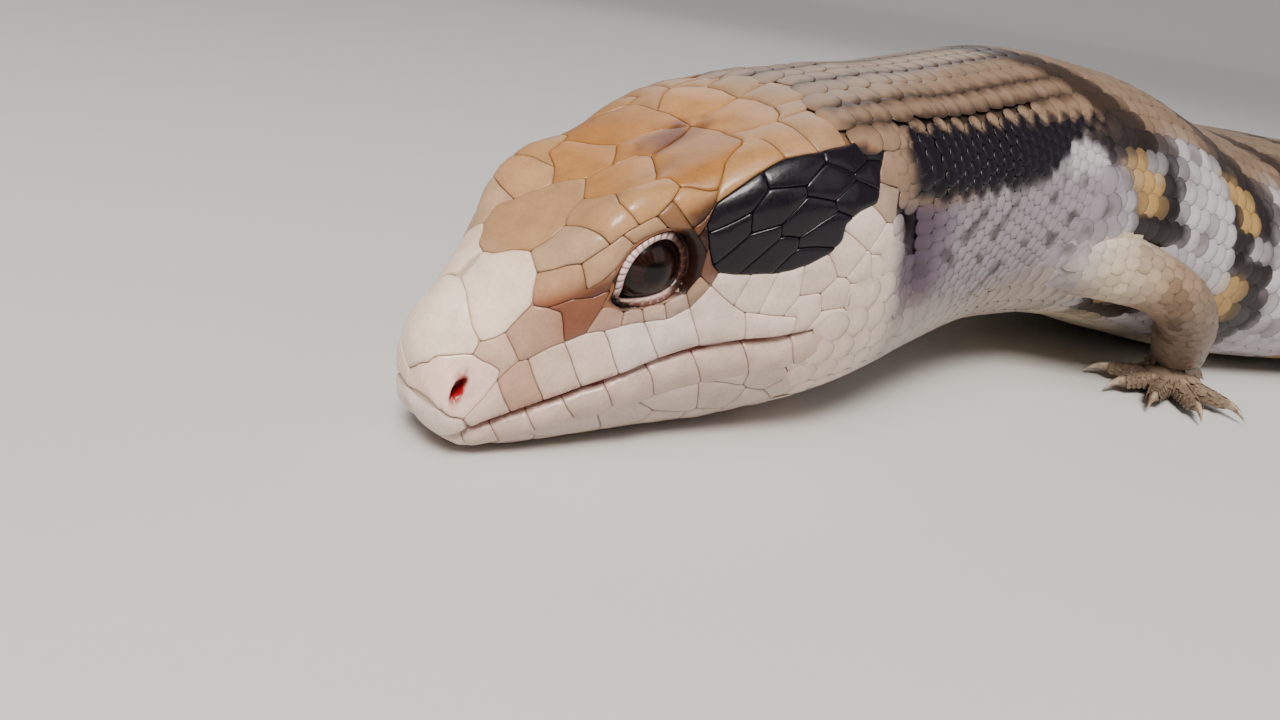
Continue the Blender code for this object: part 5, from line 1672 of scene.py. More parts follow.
def scale_tree():
    """A Geometry Nodes tree that lays a shape on points by their attributes."""
    tree = bpy.data.node_groups.new("lay_scales", "GeometryNodeTree")
    for name, kind in TREE_INPUTS:
        tree.interface.new_socket(name, in_out="INPUT", socket_type="NodeSocket" + kind)
    tree.interface.new_socket("Coat", in_out="OUTPUT", socket_type="NodeSocketGeometry")
    t = Tree(tree)
    given = t.add("NodeGroupInput")
    result = t.add("NodeGroupOutput")
    shape = t.add("GeometryNodeObjectInfo", Object=given.outputs["Shape"])
    out, lie, size = [t.add("GeometryNodeInputNamedAttribute", {"data_type": "FLOAT_VECTOR"}, Name=key)
                      for key in ("out", "lie", "size")]
    turned = t.add("FunctionNodeAxesToRotation", {"primary_axis": "Z", "secondary_axis": "X"},
                   n0=out.outputs["Attribute"], n1=lie.outputs["Attribute"])
    most = given.outputs["Uneven turn"]
    chance = t.add("FunctionNodeRandomValue", {"data_type": "FLOAT"}, n2=t.times(most, -1.0), n3=most,
                   Seed=given.outputs["Seed"])
    twist = t.add("FunctionNodeAxisAngleToRotation", Axis=(0.0, 0.0, 1.0), Angle=chance.outputs[1])
    final = t.add("FunctionNodeRotateRotation", {"rotation_space": "LOCAL"},
                  n0=turned.outputs[0], n1=twist.outputs[0])
    laid = t.add("GeometryNodeInstanceOnPoints", Points=given.outputs["Roots"],
                 Instance=shape.outputs["Geometry"], Rotation=final.outputs[0],
                 Scale=size.outputs["Attribute"])
    real = t.add("GeometryNodeRealizeInstances", Geometry=laid.outputs[0])
    done = t.add("GeometryNodeSetMaterial", Geometry=real.outputs[0], Material=given.outputs["Finish"])
    t.put(result, "Coat", done.outputs[0])
    return tree


ONE_SCALE = scale_shape()
LAY_SCALES = scale_tree()
SOCKETS = {item.name: item.identifier for item in LAY_SCALES.interface.items_tree if item.in_out == "INPUT"}
OWN_COLOUR = 0.65


def root_mesh(name, points, out, lie, size, tilt, facts):
    """Points for the roots of scales, with what the tree and the colours need to know at each."""
    raised = unit(lie + out * np.asarray(tilt))
    normal = np.cross(raised, unit(np.cross(out, lie)))
    normal = normal * np.sign((normal * out).sum(-1, keepdims=True))
    roots = make_mesh(name, points, [])
    values = [("out", normal), ("lie", raised), ("size", size * MM)] + list(zip(ROOT_FACTS, facts))
    for key, vectors in values:
        layer = roots.data.attributes.new(key, "FLOAT_VECTOR", "POINT")
        layer.data.foreach_set("vector", np.asarray(vectors, np.float32).ravel())
    return roots


def lay_scales(name, points, out, lie, size, colours, maps, arcs, tilt, turn=0.05, seed=3):
    """Scales on points in millimetres; arcs gives each root's place on the body, or None."""
    nothing = np.zeros((len(maps), 1))
    places = np.zeros((len(maps), 2)) if arcs is None else arcs
    facts = (colours, np.hstack([maps, nothing]), np.hstack([places, nothing]), size)
    roots = root_mesh(name, points, out, lie, size, tilt, facts)
    modifier = roots.modifiers.new("lay", "NODES")
    modifier.node_group = LAY_SCALES
    for key, value in (("Shape", ONE_SCALE), ("Finish", SCALE), ("Uneven turn", turn), ("Seed", seed)):
        modifier[SOCKETS[key]] = value
    apply_modifiers(roots)
    dress_scales(roots.data, arcs is not None)
    return roots


def dress_scales(mesh, on_body):
    """Colour the points of laid scales, give them their map places and keep them over the floor."""
    count = len(mesh.vertices)

    def read(key):
        """The vectors kept under a name."""
        values = np.zeros(count * 3, np.float32)
        mesh.attributes[key].data.foreach_get("vector", values)
        return values.reshape(-1, 3).astype(float)

    own, (tint, root_map, arc, sizes) = read("own"), [read(key) for key in ROOT_FACTS]
    if on_body:
        s = np.clip(arc[:, 0] + own[:, 0] * sizes[:, 0], 0.2, TAIL_TIP)
        here = markings(s, arc[:, 1] - own[:, 1] * sizes[:, 1])
        own_share = np.interp(arc[:, 0], (92, 106), (0.2, OWN_COLOUR))[:, None]
        tint = tint * own_share + here * (1 - own_share)
    write_tint(mesh, tint)
    set_map(mesh, root_map[:, :2] + own[:, :2] * PATCH_ON_MAP)
    places = np.zeros(count * 3)
    mesh.vertices.foreach_get("co", places)
    places = places.reshape(-1, 3)
    places[:, 2] = settle(places[:, 2] / MM) * MM
    mesh.vertices.foreach_set("co", places.ravel())
    for key in ("own", *ROOT_FACTS, "out", "lie", "size"):
        if key in mesh.attributes:
            mesh.attributes.remove(mesh.attributes[key])
    mesh.shade_smooth()
    mesh.update()


print("one scale has", len(ONE_SCALE.data.polygons), "faces")

# %% Rows of scales over the neck, body and tail
UNDER_PLATES = 0.6               # how far the first scales reach in under the plates of the head
HEAD_EDGE = ((0, 52.4), (3.6, 53.2), (7, 52.0), (9.4, 49.6), (12.8, 49.4), (16.4, 50.5), (17.5, 54.0),
             (24, 54.5), (27, 53.3), (29, 52.4), (31.1, 51.2), (32.5, 49.9), (34.1, 47.9), (36.5, 44.3),
             (40, 41.4), (60, 39.0))
# Rows of scales round the body, and the distances between which they run
ROW_ZONES = ((36, 38.0, 97.0), (46, 97.0, 280.0), (36, 280.0, 326.0), (28, 326.0, 368.0), (22, 368.0, 408.0),
             (16, 408.0, 452.0), (12, 452.0, 486.0), (8, 486.0, 509.0))
STEP_OF_WIDTH = 0.80
SCALE_LONG, SCALE_WIDE, SCALE_HIGH = 1.66, 1.20, 0.9
GRAIN_SPACING = 1.95
GRAIN_TOP = ((53, 18.2), (58, 15.2), (75, 15.0), (90, 16.4), (98, 20.0))
GRAIN_FOOT = ((53, 36.0), (60, 39.0), (84, 39.0), (92, 32.0), (98, 22.0))
COAT_PARTS = ((38.0, 78.0), (78.0, 115.0), (115.0, 155.0), (155.0, 195.0), (195.0, 235.0), (235.0, 285.0),
              (285.0, 340.0), (340.0, 512.0))


def in_grain(s, a, spread=0.0):
    """Where the side of the neck has small pebbly scales."""
    side = np.abs(a)
    within = (side > ease(GRAIN_TOP, s) - spread) & (side < ease(GRAIN_FOOT, s) + 2 * spread)
    return within & (s > 53.0) & (s < 98.0 + spread)


def head_edge(a):
    """How far back the plates of the head reach."""
    return np.interp(np.abs(a), *zip(*HEAD_EDGE))


def near_ear(s, a):
    """Whether a place is in or at the opening of the ear."""
    return np.hypot((s - EAR_SPOT[0]) / 1.9, (np.abs(a) - EAR_SPOT[1]) / 3.3) < 1.0


def body_roots():
    """Places (distance, arc) and widths of the rows of scales."""
    found = []
    for rows, start, end in ROW_ZONES:
        stations, s = [], start
        while s < end:
            stations.append(s)
            s += STEP_OF_WIDTH * 2 * float(half_girth(s)) / rows
        stations = np.array(stations)
        widths = 2 * half_girth(stations) / rows
        for k in range(rows):
            share = (k + 0.5) / rows * 2 - 1
            at = stations + (0.5 * STEP_OF_WIDTH * widths if k % 2 else 0)
            a = share * half_girth(at)
            keep = (at > head_edge(a) - UNDER_PLATES) & ~in_grain(at, a) & ~near_ear(at, a)
            found.append(np.column_stack([at, a, widths])[keep])
    return np.vstack(found)


def grain_roots():
    """Places and widths of the pebbly scales on the side of the neck."""
    found = []
    for k, s in enumerate(np.arange(53.2, 99.0, GRAIN_SPACING * 0.86)):
        for a in np.arange(15.0, 42.0, GRAIN_SPACING):
            for side in (1, -1):
                found.append((s, side * (a + (GRAIN_SPACING / 2 if k % 2 else 0)), GRAIN_SPACING))
    found = np.array(found)
    keep = in_grain(found[:, 0], found[:, 1], 0.9) & ~near_ear(found[:, 0], found[:, 1])
    return found[keep & (found[:, 0] > head_edge(found[:, 1]) - 0.4)]


def on_leg(face):
    """Whether a face of the joined skin belongs to a leg."""
    return SKIN_FACTS[skin.data.polygons[face].vertices[0], 0] >= 0


def on_skin(points, out, back):
    """Places moved on to the joined skin near the legs; the last value says which ones show."""
    shown = np.ones(len(points), bool)
    for i, place in enumerate(points):
        near, normal, index, away = skin_tree.find_nearest(Vector(place), 6.0)
        if near is None:
            continue
        height = (Vector(place) - near).dot(normal)
        if height < -1.3 or on_leg(index):
            shown[i] = False
        elif height < 0.12 or normal.dot(Vector(out[i])) < 0.90:
            points[i] = near + normal * COAT_DEPTH
            out[i] = normal
            lie = Vector(back[i]) - normal * Vector(back[i]).dot(normal)
            back[i] = lie.normalized()
    return points, out, back, shown


def body_places(s, a):
    """Places and directions of the scales, and which of them show."""
    out, back = lie_frames(s, a)
    points = surface(s, a, 0.02)
    near = ((s > 78) & (s < 112)) | ((s > 276) & (s < 312))
    points[near], out[near], back[near], shown = on_skin(points[near], out[near], back[near])
    visible = np.ones(len(s), bool)
    visible[np.nonzero(near)[0][~shown]] = False
    return points, out, back, visible


def coat_body():
    """All the scales of the neck, body and tail, in a few pieces."""
    large, small = body_roots(), grain_roots()
    grain = np.concatenate([np.zeros(len(large), bool), np.ones(len(small), bool)])
    s, a, width = np.vstack([large, small]).T
    points, out, back, visible = body_places(s, a)
    long_by = np.where(grain, np.interp(s, (58, 64), (1.42, 1.12)), SCALE_LONG * STEP_OF_WIDTH)
    wide_by = np.where(grain, np.interp(s, (58, 64), (1.22, 1.06)), SCALE_WIDE)
    size = np.column_stack([width * long_by, width * wide_by, np.interp(s, (80, 100), (0.85, SCALE_HIGH))])
    colours = markings(s, a) * (1 + 0.10 * ripple(s * 7.3, a * 5.1, 1.0, 2.0))[:, None]
    tilt = np.where(grain, 0.04, np.interp(s, (80, 100), (0.06, 0.085)))[:, None]
    facts = (points, out, back, size, colours, map_places(s, a), np.column_stack([s, a]), tilt)
    made = []
    for number, (start, end) in enumerate(COAT_PARTS):
        here = visible & (s >= start) & (s < end)
        made.append(lay_scales("body_scales_%d" % (number + 1), *[values[here] for values in facts]))
    return made


body_coat = coat_body()
print("body scales:", [len(o.data.polygons) for o in body_coat], "faces")

# %% [markdown]
# ## Eyes and lids
# The eye of a skink is a dark ball, deep in its socket, with a round pupil and a brown iris
# that hardly shows, its colour partly painted darker as shade from the lids. The lid is a ring
# of skin from the shields to the ball: a pale beaded edge in front and above, a row of small
# square scales below, dark brown folds behind. Painted shade darkens the crease by the beads and
# the gap between lid and ball. The ring is built by stepping round the eye and joining three
# loops: the edge of the shields, the outer line of the beads, and the opening.

# %% The ball of the eye
EYE_BALL = (25.35, 8.75, 13.35)
EYE_RADIUS = 4.5
EYE_LOOK = (-0.20, 0.975, 0.03)
PUPIL, IRIS, RIM_OF_IRIS = 0.28, 0.62, 0.74
CORNEA_RISE = 0.2
PUPIL_BLACK = (0.004, 0.003, 0.003)
# the iris is kept very dark, partly as painted shade from the lids
IRIS_BROWN_SHADED, IRIS_DARK_SHADED = (0.040, 0.014, 0.008), (0.016, 0.007, 0.005)
IRIS_EDGE = (0.008, 0.004, 0.004)
BALL_BROWN, BALL_REAR = (0.022, 0.007, 0.005), (0.03, 0.01, 0.01)
HEAD_BACK = np.array([-cos(HEAD_PITCH), 0.0, sin(HEAD_PITCH)])
HEAD_LEFT = np.array([0.0, 1.0, 0.0])
HEAD_UP = np.array([sin(HEAD_PITCH), 0.0, cos(HEAD_PITCH)])
ball_centre = head_place(*EYE_BALL)
look = unit(EYE_LOOK[0] * HEAD_BACK + EYE_LOOK[1] * HEAD_LEFT + EYE_LOOK[2] * HEAD_UP)
eye_back = unit(HEAD_BACK - look * (HEAD_BACK @ look))
eye_up = np.cross(eye_back, look)
eye_up = eye_up * np.sign(eye_up @ HEAD_UP)


def wet_finish():
    """Dark wet eye: colour from the points, under a clear smooth coat."""
    made, t, place = new_finish("wet_eye")
    shade = t.spread(t.noise(place, 3500.0, 3.0), 0.75, 1.25)
    t.finish_with(Base_Color=t.shaded_tint(shade), Roughness=0.2, Specular_IOR_Level=0.2,
                  Coat_Weight=0.2, Coat_Roughness=0.03)
    return made


WET = wet_finish()


def one_sided(name, side, points, faces, *dress):
    """A piece of the left or the right side, from the points and faces of the left one."""
    faces = faces if side > 0 else [tuple(reversed(f)) for f in faces]
    made = make_mesh(name, points * np.array([1.0, side, 1.0]), faces, *dress)
    face_out(made)
    return made


def ball_colours(polar, around):
    """Pupil, streaked iris, its dark edge and the brown rim, by the angle from the line of sight."""
    streak = 0.5 + 0.5 * np.sin(around * 31 + 3 * np.sin(around * 5))
    iris = mix(IRIS_BROWN_SHADED, IRIS_DARK_SHADED, streak)
    colour = mix(PUPIL_BLACK, iris, smooth_step(PUPIL - 0.03, PUPIL + 0.04, polar))
    colour = mix(colour, IRIS_EDGE, smooth_step(IRIS - 0.06, IRIS + 0.03, polar))
    colour = mix(colour, BALL_BROWN, smooth_step(RIM_OF_IRIS, RIM_OF_IRIS + 0.1, polar))
    return np.vstack([colour, [PUPIL_BLACK], [BALL_REAR]])


def eye_ball(name, side):
    """The ball, with rings of points closer together at the pupil."""
    reach = np.concatenate([np.linspace(0.04, 1.0, 26), np.linspace(1.08, pi - 0.05, 16)])
    turned = np.linspace(0, 2 * pi, 56, endpoint=False)
    polar, around = np.meshgrid(reach, turned, indexing="ij")
    radius = EYE_RADIUS + CORNEA_RISE * np.exp(-(polar / 0.75) ** 2) - CORNEA_RISE
    points = (ball_centre + look * (radius * np.cos(polar))[..., None]
              + eye_back * (radius * np.sin(polar) * np.cos(around))[..., None]
              + eye_up * (radius * np.sin(polar) * np.sin(around))[..., None]).reshape(-1, 3)
    rear = ball_centre - look * (EYE_RADIUS - CORNEA_RISE)
    points = np.vstack([points, ball_centre + look * EYE_RADIUS, rear])
    polar, around = polar.ravel(), around.ravel()
    u, v = [0.012 * np.append(np.sin(polar) * wave(around) * polar, [0, 0]) for wave in (np.cos, np.sin)]
    maps = np.column_stack([0.93 + u, (0.82 if side > 0 else 0.88) + v])
    return one_sided(name, side, points, tube_faces(len(reach), len(turned)), ball_colours(polar, around),
                     maps, WET)


eyes = [eye_ball("eye_ball_left", 1), eye_ball("eye_ball_right", -1)]
print("eye ball:", len(eyes[0].data.polygons), "faces, radius", EYE_RADIUS, "mm")

# %% The lids
# Loops round the eye: back and up from its centre, in millimetres
OPENING = ((-3.45, -2.6), (-3.4, -1.3), (-2.95, 0.4), (-1.95, 1.85), (-0.6, 2.7), (1.0, 3.0), (2.4, 2.6),
           (3.3, 1.6), (3.6, 0.2), (3.3, -1.1), (2.5, -2.1), (1.2, -2.6), (-0.4, -2.7), (-1.9, -2.75),
           (-2.9, -2.85))
BEADS = ((-4.2, -2.8), (-4.15, -1.1), (-3.6, 0.9), (-2.5, 2.5), (-0.8, 3.4), (1.1, 3.65), (2.9, 3.2),
         (4.1, 2.0), (4.5, 0.2), (4.1, -1.7), (3.1, -3.05), (1.3, -3.65), (-0.6, -3.75), (-2.4, -3.75),
         (-3.6, -3.5))
LID_BORDER = "ey1 ey2 ey3 ey4 ey5 ey6 ey7 su7 su6 su5 su4 su3 su2 su1 pr6"
LID_STEPS = 208
BEAD_COUNT = 28
DEEPEST = 1.3
SKIN_RINGS = 12
BEAD_SHARES = np.linspace(0.14, 1, 7)
LID_BROWN, LOWER_BROWN = (0.30, 0.15, 0.075), (0.27, 0.17, 0.12)
LID_DARK_AND_CREASE_SHADE = (0.035, 0.014, 0.010)
BEAD_PALE, BEAD_GAP = (0.74, 0.56, 0.55), (0.22, 0.11, 0.10)
SQUARE_RED, SQUARE_EDGE = (0.22, 0.10, 0.085), (0.58, 0.42, 0.38)
REAR_DARK, REAR_GAP = (0.045, 0.016, 0.012), (0.14, 0.07, 0.05)
# painted shade for the gap between lid and ball
GAP_SHADE_NEAR_BLACK = (0.02, 0.006, 0.006)


def loop_by_turn(places, turns):
    """A closed loop of places, read at given angles round the eye."""
    along, high = (places - ball_centre) @ eye_back, (places - ball_centre) @ eye_up
    angle = np.arctan2(high, along)
    order = np.argsort(angle)
    angle, places = angle[order], places[order]
    wrapped = np.concatenate([angle - 2 * pi, angle, angle + 2 * pi])
    return np.stack([np.interp(turns, wrapped, np.tile(places[:, i], 3)) for i in range(3)], -1)


def dense_loop(corners, count=240):
    """A closed smooth curve through the corners."""
    corners = np.asarray(corners, float)
    n = len(corners)
    t = np.linspace(0, n, count, endpoint=False)
    k = t.astype(int)
    u = (t - k)[:, None]
    p0, p1, p2, p3 = [corners[(k + i) % n] for i in (-1, 0, 1, 2)]
    return 0.5 * (2 * p1 + (p2 - p0) * u + (2 * p0 - 5 * p1 + 4 * p2 - p3) * u ** 2
                  + (3 * p1 - p0 - 3 * p2 + p3) * u ** 3)


def on_ball(loop, radius):
    """A flat loop laid on a ball round the middle of the eye."""
    flat = dense_loop(loop)
    high = np.sqrt(np.maximum(radius ** 2 - (flat ** 2).sum(1), DEEPEST ** 2))
    return ball_centre + eye_back * flat[:, :1] + eye_up * flat[:, 1:] + look * high[:, None]


class LidParts:
    """What the rings of one lid share: their angles, loops, grooves and zones."""

    def __init__(self):
        self.turns = np.linspace(-pi, pi, LID_STEPS, endpoint=False)
        border = dense_loop([SEAM_PLACES[c] for c in LID_BORDER.split()])
        self.edge, self.under = [loop_by_turn(surface(border[:, 0], border[:, 1], lift), self.turns)
                                 for lift in (-0.16, -1.1)]
        self.beads = loop_by_turn(on_ball(BEADS, EYE_RADIUS + 0.62), self.turns)
        self.opening = loop_by_turn(on_ball(OPENING, EYE_RADIUS + 0.16), self.turns)
        self.inside = loop_by_turn(on_ball(OPENING, EYE_RADIUS - 0.9), self.turns)
        segment = self.turns / (2 * pi) * BEAD_COUNT
        self.groove = np.exp(-((segment - np.round(segment)) / 0.13) ** 2)
        self.lower = smooth_step(-0.25, -0.6, np.sin(self.turns)) * smooth_step(0.85, 0.6, np.cos(self.turns))
        self.behind = smooth_step(0.45, 0.8, np.cos(self.turns + 0.15))


def skin_rings(lid):
    """Rings of the thin skin between the shields and the beads, each with its colours and edge values."""
    wide = np.linalg.norm(lid.beads - lid.edge, axis=1)[:, None]
    for q in np.linspace(0, 1, SKIN_RINGS):
        fold = np.exp(-((q - 0.90) / 0.07) ** 2) * 0.30
        puff = 0.16 * np.minimum(wide, 2.0) * np.sin(pi * min(q / 0.9, 1.0))
        ring = lid.edge * (1 - q) + lid.beads * q + look * (puff - fold)
        # darker behind the eye, and painted shade in the crease next to the beads
        dark = np.maximum(lid.behind, 0.85 * np.exp(-((q - 0.92) / 0.12) ** 2))
        colour = mix(mix(LID_BROWN, LOWER_BROWN, lid.lower), LID_DARK_AND_CREASE_SHADE, dark)
        yield ring, colour, 0.35 * lid.groove * (0.2 + 0.8 * lid.behind)


def bead_rings(lid):
    """Rings of the beads, from their outer line to the opening."""
    for q in BEAD_SHARES:
        bulge = 0.26 * sin(pi * min(q, 0.96)) ** 0.8
        flat = lid.beads * (1 - q) + lid.opening * q
        ring = flat + unit(flat - ball_centre) * (bulge * (1 - 0.75 * lid.groove))[:, None]
        rim = max(float(smooth_step(0.72, 0.9, q)), float(smooth_step(0.3, 0.14, q)))
        square = mix(SQUARE_RED, SQUARE_EDGE, np.maximum(lid.groove, rim))
        colour = mix(mix(BEAD_PALE, BEAD_GAP, 0.75 * lid.groove), square, lid.lower)
        yield ring, mix(colour, mix(REAR_DARK, REAR_GAP, lid.groove), lid.behind), 0.4 * lid.groove


def inner_rings(lid):
    """Rings that turn in to the ball and back under the shields, where they don't show; they are painted near
    black as the shade in the gap round the ball.
    """
    dark, full = np.tile(GAP_SHADE_NEAR_BLACK, (LID_STEPS, 1)), np.ones(LID_STEPS)
    yield lid.opening * 0.5 + lid.inside * 0.5, dark * 3, full
    yield lid.inside, dark, full
    yield lid.under, dark, full


def eye_lid(name, side):
    """The ring of lid round one eye."""
    lid = LidParts()
    rows, colours, edges = zip(*skin_rings(lid), *bead_rings(lid), *inner_rings(lid))
    count = len(rows)
    faces = grid_faces(count, LID_STEPS, True)
    for c in range(LID_STEPS):
        e = (c + 1) % LID_STEPS
        faces.append(((count - 1) * LID_STEPS + c, (count - 1) * LID_STEPS + e, e, c))
    across = np.repeat(np.linspace(0, 1, count), LID_STEPS)
    around = np.tile(np.linspace(0, 1, LID_STEPS), count)
    maps = np.column_stack([0.74 + 0.10 * around, (0.82 if side > 0 else 0.90) + 0.05 * across])
    return one_sided(name, side, np.vstack(rows), faces, np.vstack(colours), maps, LID, np.concatenate(edges))


lids = [eye_lid("head_lid_left", 1), eye_lid("head_lid_right", -1)]
print("lid:", len(lids[0].data.polygons), "faces")

# %% [markdown]
# ## Claws and eardrums
# A claw is a curved cone of dark horn, flatter from side to side, with growth rings at its
# root. It is swept along an arc from the end of the toe to the floor. The eardrums are thin
# skin at the bottom of the ear openings; their solids are already right and only get a finish,
# painted very dark as the shade deep in the ear.

# %% Claws
CLAW_RINGS, CLAW_SIDES = 16, 14
CLAW_ROOT = 1.3                  # how far a claw starts inside its toe
CLAW_BROWN, CLAW_TIP = (0.20, 0.125, 0.075), (0.44, 0.34, 0.24)


def horn_finish(name, dark, light, roughness):
    """Streaked horn, from noise on the piece's own coordinates."""
    made, t, place = new_finish(name)
    share = t.spread(t.noise(place, 900.0, 3.0), 0.0, 1.0, (0.35, 0.65))
    colour = t.add("ShaderNodeMix", {"data_type": "RGBA"}, Factor=share, n6=(*dark, 1), n7=(*light, 1))
    bumps = t.add("ShaderNodeBump", Height=t.noise(place, 4200.0, 4.0), Strength=0.2, Distance=BUMP_HEIGHT)
    t.finish_with(Base_Color=colour.outputs[2], Roughness=roughness, Normal=bumps.outputs["Normal"],
                  Coat_Weight=0.35, Coat_Roughness=0.2)
    return made


CLAW_HORN = horn_finish("streaked_claw_horn", CLAW_BROWN, CLAW_TIP, 0.3)
# the eardrum is coloured very dark, as painted shade deep in the ear opening
EAR_DRUM_SHADED = horn_finish("ear_drum_painted_shade", (0.07, 0.035, 0.03), (0.12, 0.07, 0.06), 0.42)


def claw(name, toe, toward, number):
    """One curved claw at the end of a toe."""
    start = toe.at(np.array(toe.total)) - toward * CLAW_ROOT
    across = np.cross(UP, toward)
    t = np.linspace(0, 1, CLAW_RINGS)
    rise = 0.55 * np.sin(pi * t * 0.85) - (TOE_HEIGHT - CLAW_TIP_HEIGHT * 0.55) * t ** 2.2
    path = start + toward * ((CLAW_LENGTH + CLAW_ROOT) * t)[:, None] + UP * rise[:, None]
    thick = CLAW_THICK * (1 - t ** 1.7) + 0.05
    thick = (thick * (1 + 0.03 * np.cos(t * 60) * (t < 0.5)))[:, None]
    angle = np.linspace(0, 2 * pi, CLAW_SIDES, endpoint=False)
    forward = unit(np.gradient(path, axis=0))
    above = np.cross(forward, across)
    points = (path[:, None] + across * (thick * 0.82 * np.sin(angle))[..., None]
              + above[:, None] * (thick * 1.05 * np.cos(angle))[..., None]).reshape(-1, 3)
    points[:, 2] = np.maximum(points[:, 2], 0.02)
    points = np.vstack([points, path[0], path[-1] + forward[-1] * 0.12])
    points[-1, 2] = max(points[-1, 2], 0.05)
    around = np.append(np.tile(np.linspace(0, 1, CLAW_SIDES), CLAW_RINGS), [0, 0])
    u = 0.72 + 0.011 * (number % 10) + 0.008 * around
    v = 0.93 + 0.03 * (number // 10) + 0.02 * np.append(np.repeat(t, CLAW_SIDES), [0, 1])
    faces = tube_faces(CLAW_RINGS, CLAW_SIDES)
    made = make_mesh(name, points, faces, None, np.column_stack([u, v]), CLAW_HORN)
    face_out(made)
    return made


claws = {}
for label in LEG_LABELS:
    for number, (toe, toward) in enumerate(LEG_PARTS[label][3]):
        horn_name = "horn_%s_%d" % (label, number + 1)
        claws["claw_%s_%d" % (label, number + 1)] = claw(horn_name, toe, toward, len(claws))
print("claws:", len(claws))

# %% [markdown]
# ## Scales of the legs and feet
# The legs have the same overlapping scales as the body, only smaller, with their free edges
# towards the foot. They are laid in rings round each leg's tube, and moved on to the joined
# skin where the leg grows out of the body. The back of each foot and the top of each toe
# carry still smaller ones.

# %% Rows on the legs
LEG_SCALE = {"front": 2.25, "rear": 2.6}
FOOT_SPACING = 1.45
TOE_SPACING = 1.15
FOOT_SCALE_SIZE = (FOOT_SPACING * 1.35, FOOT_SPACING * 1.18, 0.5)
TOE_SCALE_SIZE = (TOE_SPACING * 1.45, TOE_SPACING * 1.3, 0.4)


def tube_frames(limb, d, angle):
    """Points, out and lie on a limb's tube."""
    e = 0.35
    along = limb.surface(np.minimum(d + e, limb.total), angle) - limb.surface(np.maximum(d - e, 0), angle)
    around = limb.surface(d, angle + 0.08) - limb.surface(d, angle - 0.08)
    out = unit(np.cross(along, around))
    point = limb.surface(d, angle)
    flip = np.sign((out * (point - limb.at(d))).sum(-1, keepdims=True))
    out = out * np.where(flip == 0, 1, flip)
    lie = unit(along - out * (along * out).sum(-1, keepdims=True))
    return point, out, lie


def skin_height(points):
    """How far points stand over the joined skin, and the nearest place and normal there."""
    heights, near, normals = [], [], []
    for place in points:
        spot, normal, index, away = skin_tree.find_nearest(Vector(place))
        heights.append((Vector(place) - spot).dot(normal))
        near.append(tuple(spot))
        normals.append(tuple(normal))
    return np.array(heights), np.array(near), np.array(normals)


def settle_on_skin(points, out, lie):
    """Move scales on to the skin, and say which ones show."""
    heights, near, normals = skin_height(points)
    shown = (heights > -1.5) & ((normals * out).sum(-1) > 0.3)
    lie = unit(lie - normals * (lie * normals).sum(-1, keepdims=True))
    return near + normals * COAT_DEPTH, normals, lie, shown


def leg_roots(number, label):
    """Scales in rings round one leg."""
    tube = LEG_PARTS[label][0]
    width = LEG_SCALE[LEGS[label]["kind"]]
    found, d, k = [], 1.0, 0
    while d < tube.total - 0.2:
        girth = float(tube.girth(np.array(d)))
        here = width * (1 - 0.22 * d / tube.total)
        count = max(10, 2 * int(round(girth / here / 2)))
        for i in range(count):
            found.append((d, (i + (0.5 if k % 2 else 0)) * 2 * pi / count, girth / count))
        d += here * STEP_OF_WIDTH
        k += 1
    d, angle, wide = np.array(found).T
    points, out, lie, shown = settle_on_skin(*tube_frames(tube, d, angle))
    uneven = (1 + 0.10 * ripple(d * 6.1, angle * 9.0, 1.0, 1.0))[:, None]
    colour = leg_colours(number, d / tube.total, angle, d) * uneven
    size = np.column_stack([wide * SCALE_LONG * STEP_OF_WIDTH, wide * SCALE_WIDE, np.full(len(d), 0.9)])
    maps = leg_map(number, tube, d, angle)
    return [x[shown] for x in (points, out, lie, size, colour, maps)]


def foot_places(centre, pointing):
    """Place, outward direction, lie and size of each scale on the back of a foot."""
    beside = np.cross(UP, pointing)
    for i, ahead in enumerate(np.arange(-6.5, 8.0, FOOT_SPACING * 0.82)):
        for across in np.arange(-7.0, 7.0, FOOT_SPACING):
            spot = centre + pointing * ahead + beside * (across + (FOOT_SPACING / 2 if i % 2 else 0))
            hit, normal, index, away = skin_tree.ray_cast(Vector((spot[0], spot[1], 6.2)), Vector((0, 0, -1)))
            if hit is not None and 1.0 < hit.z < 5.4 and normal.z > 0.35:
                yield tuple(hit), tuple(normal + Vector((0, 0, 0.8))), tuple(pointing), FOOT_SCALE_SIZE


def toe_places(toe, toward):
    """The same for the scales on the top of a toe."""
    for d in np.arange(2.6, toe.total - 0.3, TOE_SPACING * 0.9):
        for angle in (-1.5, -0.75, 0.0, 0.75, 1.5):
            spot = toe.surface(np.array(d), np.array(angle), 0.0)
            yield tuple(spot), tuple(spot - toe.at(np.array(d))), tuple(toward), TOE_SCALE_SIZE


def foot_roots(number, label):
    """Small scales on the back of the foot and on the toes."""
    tube, centre, pointing, toes = LEG_PARTS[label]
    found = list(foot_places(centre, pointing))
    for toe, toward in toes:
        found += toe_places(toe, toward)
    points, outs, lies, sizes = [np.array(part) for part in zip(*found)]
    heights, near, normals = skin_height(points)
    shown = (np.abs(heights) < 0.75) & (near[:, 2] > 0.45)
    points, outs, lies, sizes = (near + normals * 0.12)[shown], unit(outs)[shown], lies[shown], sizes[shown]
    lies = unit(lies - outs * (lies * outs).sum(-1, keepdims=True))
    uneven = (1 + 0.12 * ripple(points[:, 0] * 5, points[:, 1] * 7, 1.0, 3.0))[:, None]
    maps = foot_map(number, points, np.zeros(len(points)))
    return points, outs, lies, sizes, foot_colours(points, number) * uneven, maps


